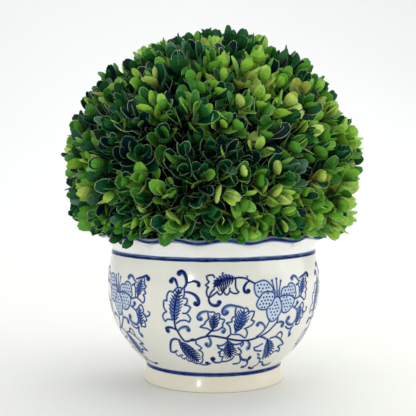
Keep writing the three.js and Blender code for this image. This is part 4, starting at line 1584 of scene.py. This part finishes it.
def make_soil(material):
    """Potting mix: a body that follows the bowl, under a bed of crumbs."""
    low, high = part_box("soil")
    top, bottom = high[2] / MM, low[2] / MM + SOIL_LIFT
    random = rng(SEEDS["soil"])
    reach = float(bowl_radius(SHOULDER_HEIGHT, WALL)) - SOIL_GAP
    sizes = random.uniform(*CRUMB_SIZES, CRUMBS)
    distance = (reach - 1) * np.sqrt(random.uniform(0, 1, CRUMBS))
    turns = random.uniform(0, math.tau, CRUMBS)
    spots = np.stack([distance * np.sin(turns), -distance * np.cos(turns)], 1)
    rings = np.concatenate([[AXIS_RADIUS], np.linspace(1.5, reach, SOIL_RINGS)])
    angle = np.linspace(0, math.tau, SOIL_SIDES, endpoint=False)
    bed = np.stack([np.outer(rings, np.sin(angle)), -np.outer(rings, np.cos(angle))], -1)
    height = np.zeros(bed.shape[:2])
    for spot, size in zip(spots, sizes):
        near = 1 - np.sum((bed - spot) ** 2, -1) / size ** 2
        height = np.maximum(height, size * CRUMB_RISE * np.sqrt(np.clip(near, 0, 1)))
    height = top - BED_BOTTOM + height / height.max() * BED_HEIGHT
    points = [np.concatenate([bed, height[..., None]], -1).reshape(-1, 3)]
    for tall in np.linspace(height[-1].min() - 1, bottom, SOIL_ROWS):
        radius = float(bowl_radius(max(tall, FLOOR_TOP + INNER_ROUND), WALL)) - SOIL_GAP
        points.append(around(np.full(SOIL_SIDES, radius), np.full(SOIL_SIDES, tall), angle))
    points.append(around(np.full(SOIL_SIDES, AXIS_RADIUS), np.full(SOIL_SIDES, bottom), angle))
    faces = stacked_faces(len(rings) + SOIL_ROWS + 1, SOIL_SIDES)[:, [0, 3, 2, 1]]
    return mesh_piece("potting_mix", np.concatenate(points), faces, [material])


def make_vessel():
    glaze = glazed("white_glaze", linear(240, 238, 229), linear(232, 231, 220), linear(186, 178, 160))
    cream = glazed("cream_glaze", linear(240, 234, 216), linear(235, 227, 206), linear(172, 154, 126),
                   0.2, 0.4)
    bare = bare_clay()
    # The neck's glaze is less yellow, and also lighter as painted light, for the light its flare catches
    # from the floor
    neck = glazed("neck_glaze_painted_light", linear(252, 252, 249), linear(246, 246, 241), linear(190, 182, 164))
    pot = make_pot(glaze, cream, bare, neck)
    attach(pot, "root")
    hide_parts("pot")
    paints = [paint(f"{layer}_blue", PAINTS[layer]) for layer in LIFTS]
    for piece in (make_pattern(paints), make_bands(paints)):
        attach(piece, "root")
    soil = make_soil(potting_soil())
    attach(soil, "root")
    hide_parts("soil")


# Stage: how far the floor spreads, where its back turns up, on what radius, how high and in
# how many steps
FLOOR_REACH = 6000
SWEEP_START, SWEEP_RADIUS, SWEEP_TOP, SWEEP_STEPS = 1600, 900, 3200, 13
SKY_COLOUR, SKY_STRENGTH = (0.96, 0.985, 1.0, 1.0), 0.66
AIM = (0, 0, 0.13)
WHITE = (1.0, 1.0, 1.0)
# Soft lights, in metres and watts: name, place, aim, size, power and colour
LIGHTS = (
    ("light_right", (1.25, -0.55, 0.75), AIM, (0.9, 1.1), 3.6, (1.0, 0.99, 0.96)),
    ("light_left", (-1.3, -0.5, 0.7), AIM, (1.0, 1.0), 1.3, WHITE),
    ("light_low", (1.5, 0.1, 0.35), AIM, (1.0, 0.7), 2.1, (1.0, 0.99, 0.97)),
    ("light_top", (0.15, 0.1, 1.6), AIM, (1.4, 1.2), 6.0, WHITE),
    ("light_back_right", (0.95, 1.4, 1.3), AIM, (1.6, 1.0), 3.4, WHITE),
    ("light_back", (0.2, 1.9, 1.7), AIM, (2.6, 1.0), 14.0, WHITE),
    ("light_small", (-0.51, -1.17, 0.2), AIM, (0.036, 0.06), 1.5, WHITE),
    ("light_wall", (0, 0.95, 1.3), (0, 2.35, 0.55), (2.6, 0.5), 4.0, WHITE),
)


def make_floor():
    """A pale floor that turns up into a wall of its own tint far behind."""
    depth = [(-FLOOR_REACH, 0), (SWEEP_START, 0)]
    for turn in np.radians(np.linspace(-90, 0, SWEEP_STEPS)):
        depth.append((SWEEP_START + SWEEP_RADIUS * math.cos(turn),
                      SWEEP_RADIUS + SWEEP_RADIUS * math.sin(turn)))
    depth.append((SWEEP_START + SWEEP_RADIUS, SWEEP_TOP))
    points = [(x, y, z) for y, z in depth for x in (-FLOOR_REACH, FLOOR_REACH)]
    faces = [(2 * k, 2 * k + 1, 2 * k + 3, 2 * k + 2) for k in range(len(depth) - 1)]
    ground = new_material("pale_ground", linear(244, 243, 238), 0.6, specular=0.2)
    wall = new_material("pale_wall", linear(244, 245, 244), 0.6, specular=0.2)
    kind = np.arange(len(faces)) > 0
    mesh_piece("pale_sweep", points, faces, [ground, wall], kind)


def make_lights():
    world = bpy.data.worlds.new("soft_light")
    bpy.context.scene.world = world
    world.use_nodes = True
    sky = world.node_tree.nodes["Background"]
    sky.inputs["Color"].default_value = SKY_COLOUR
    sky.inputs["Strength"].default_value = SKY_STRENGTH
    for name, place, aim, size, power, colour in LIGHTS:
        lamp = bpy.data.lights.new(name, "AREA")
        lamp.shape = "RECTANGLE"
        lamp.size, lamp.size_y = size
        lamp.energy = power
        lamp.color = colour
        holder = placed(name, lamp)
        holder.location = place
        way = Vector(aim) - Vector(place)
        holder.rotation_euler = way.to_track_quat("-Z", "Y").to_euler()


def make_camera():
    lens = bpy.data.cameras.new("camera")
    lens.sensor_width = SENSOR
    lens.lens = FOCAL_PIXELS / IMAGE_PIXELS * SENSOR
    lens.clip_start = 0.01
    lens.clip_end = 20
    camera = placed("camera", lens)
    camera.location = (0, -CAMERA_DISTANCE * MM, CAMERA_HEIGHT * MM)
    camera.rotation_euler = (math.pi / 2 - CAMERA_PITCH, 0, CAMERA_YAW)
    bpy.context.scene.camera = camera
    settings = bpy.context.scene.view_settings
    settings.view_transform = "Standard"
    settings.look = "None"
    settings.exposure = 0.0


make_floor()
make_lights()
make_camera()
make_vessel()
make_plant()

bpy.context.view_layer.update()
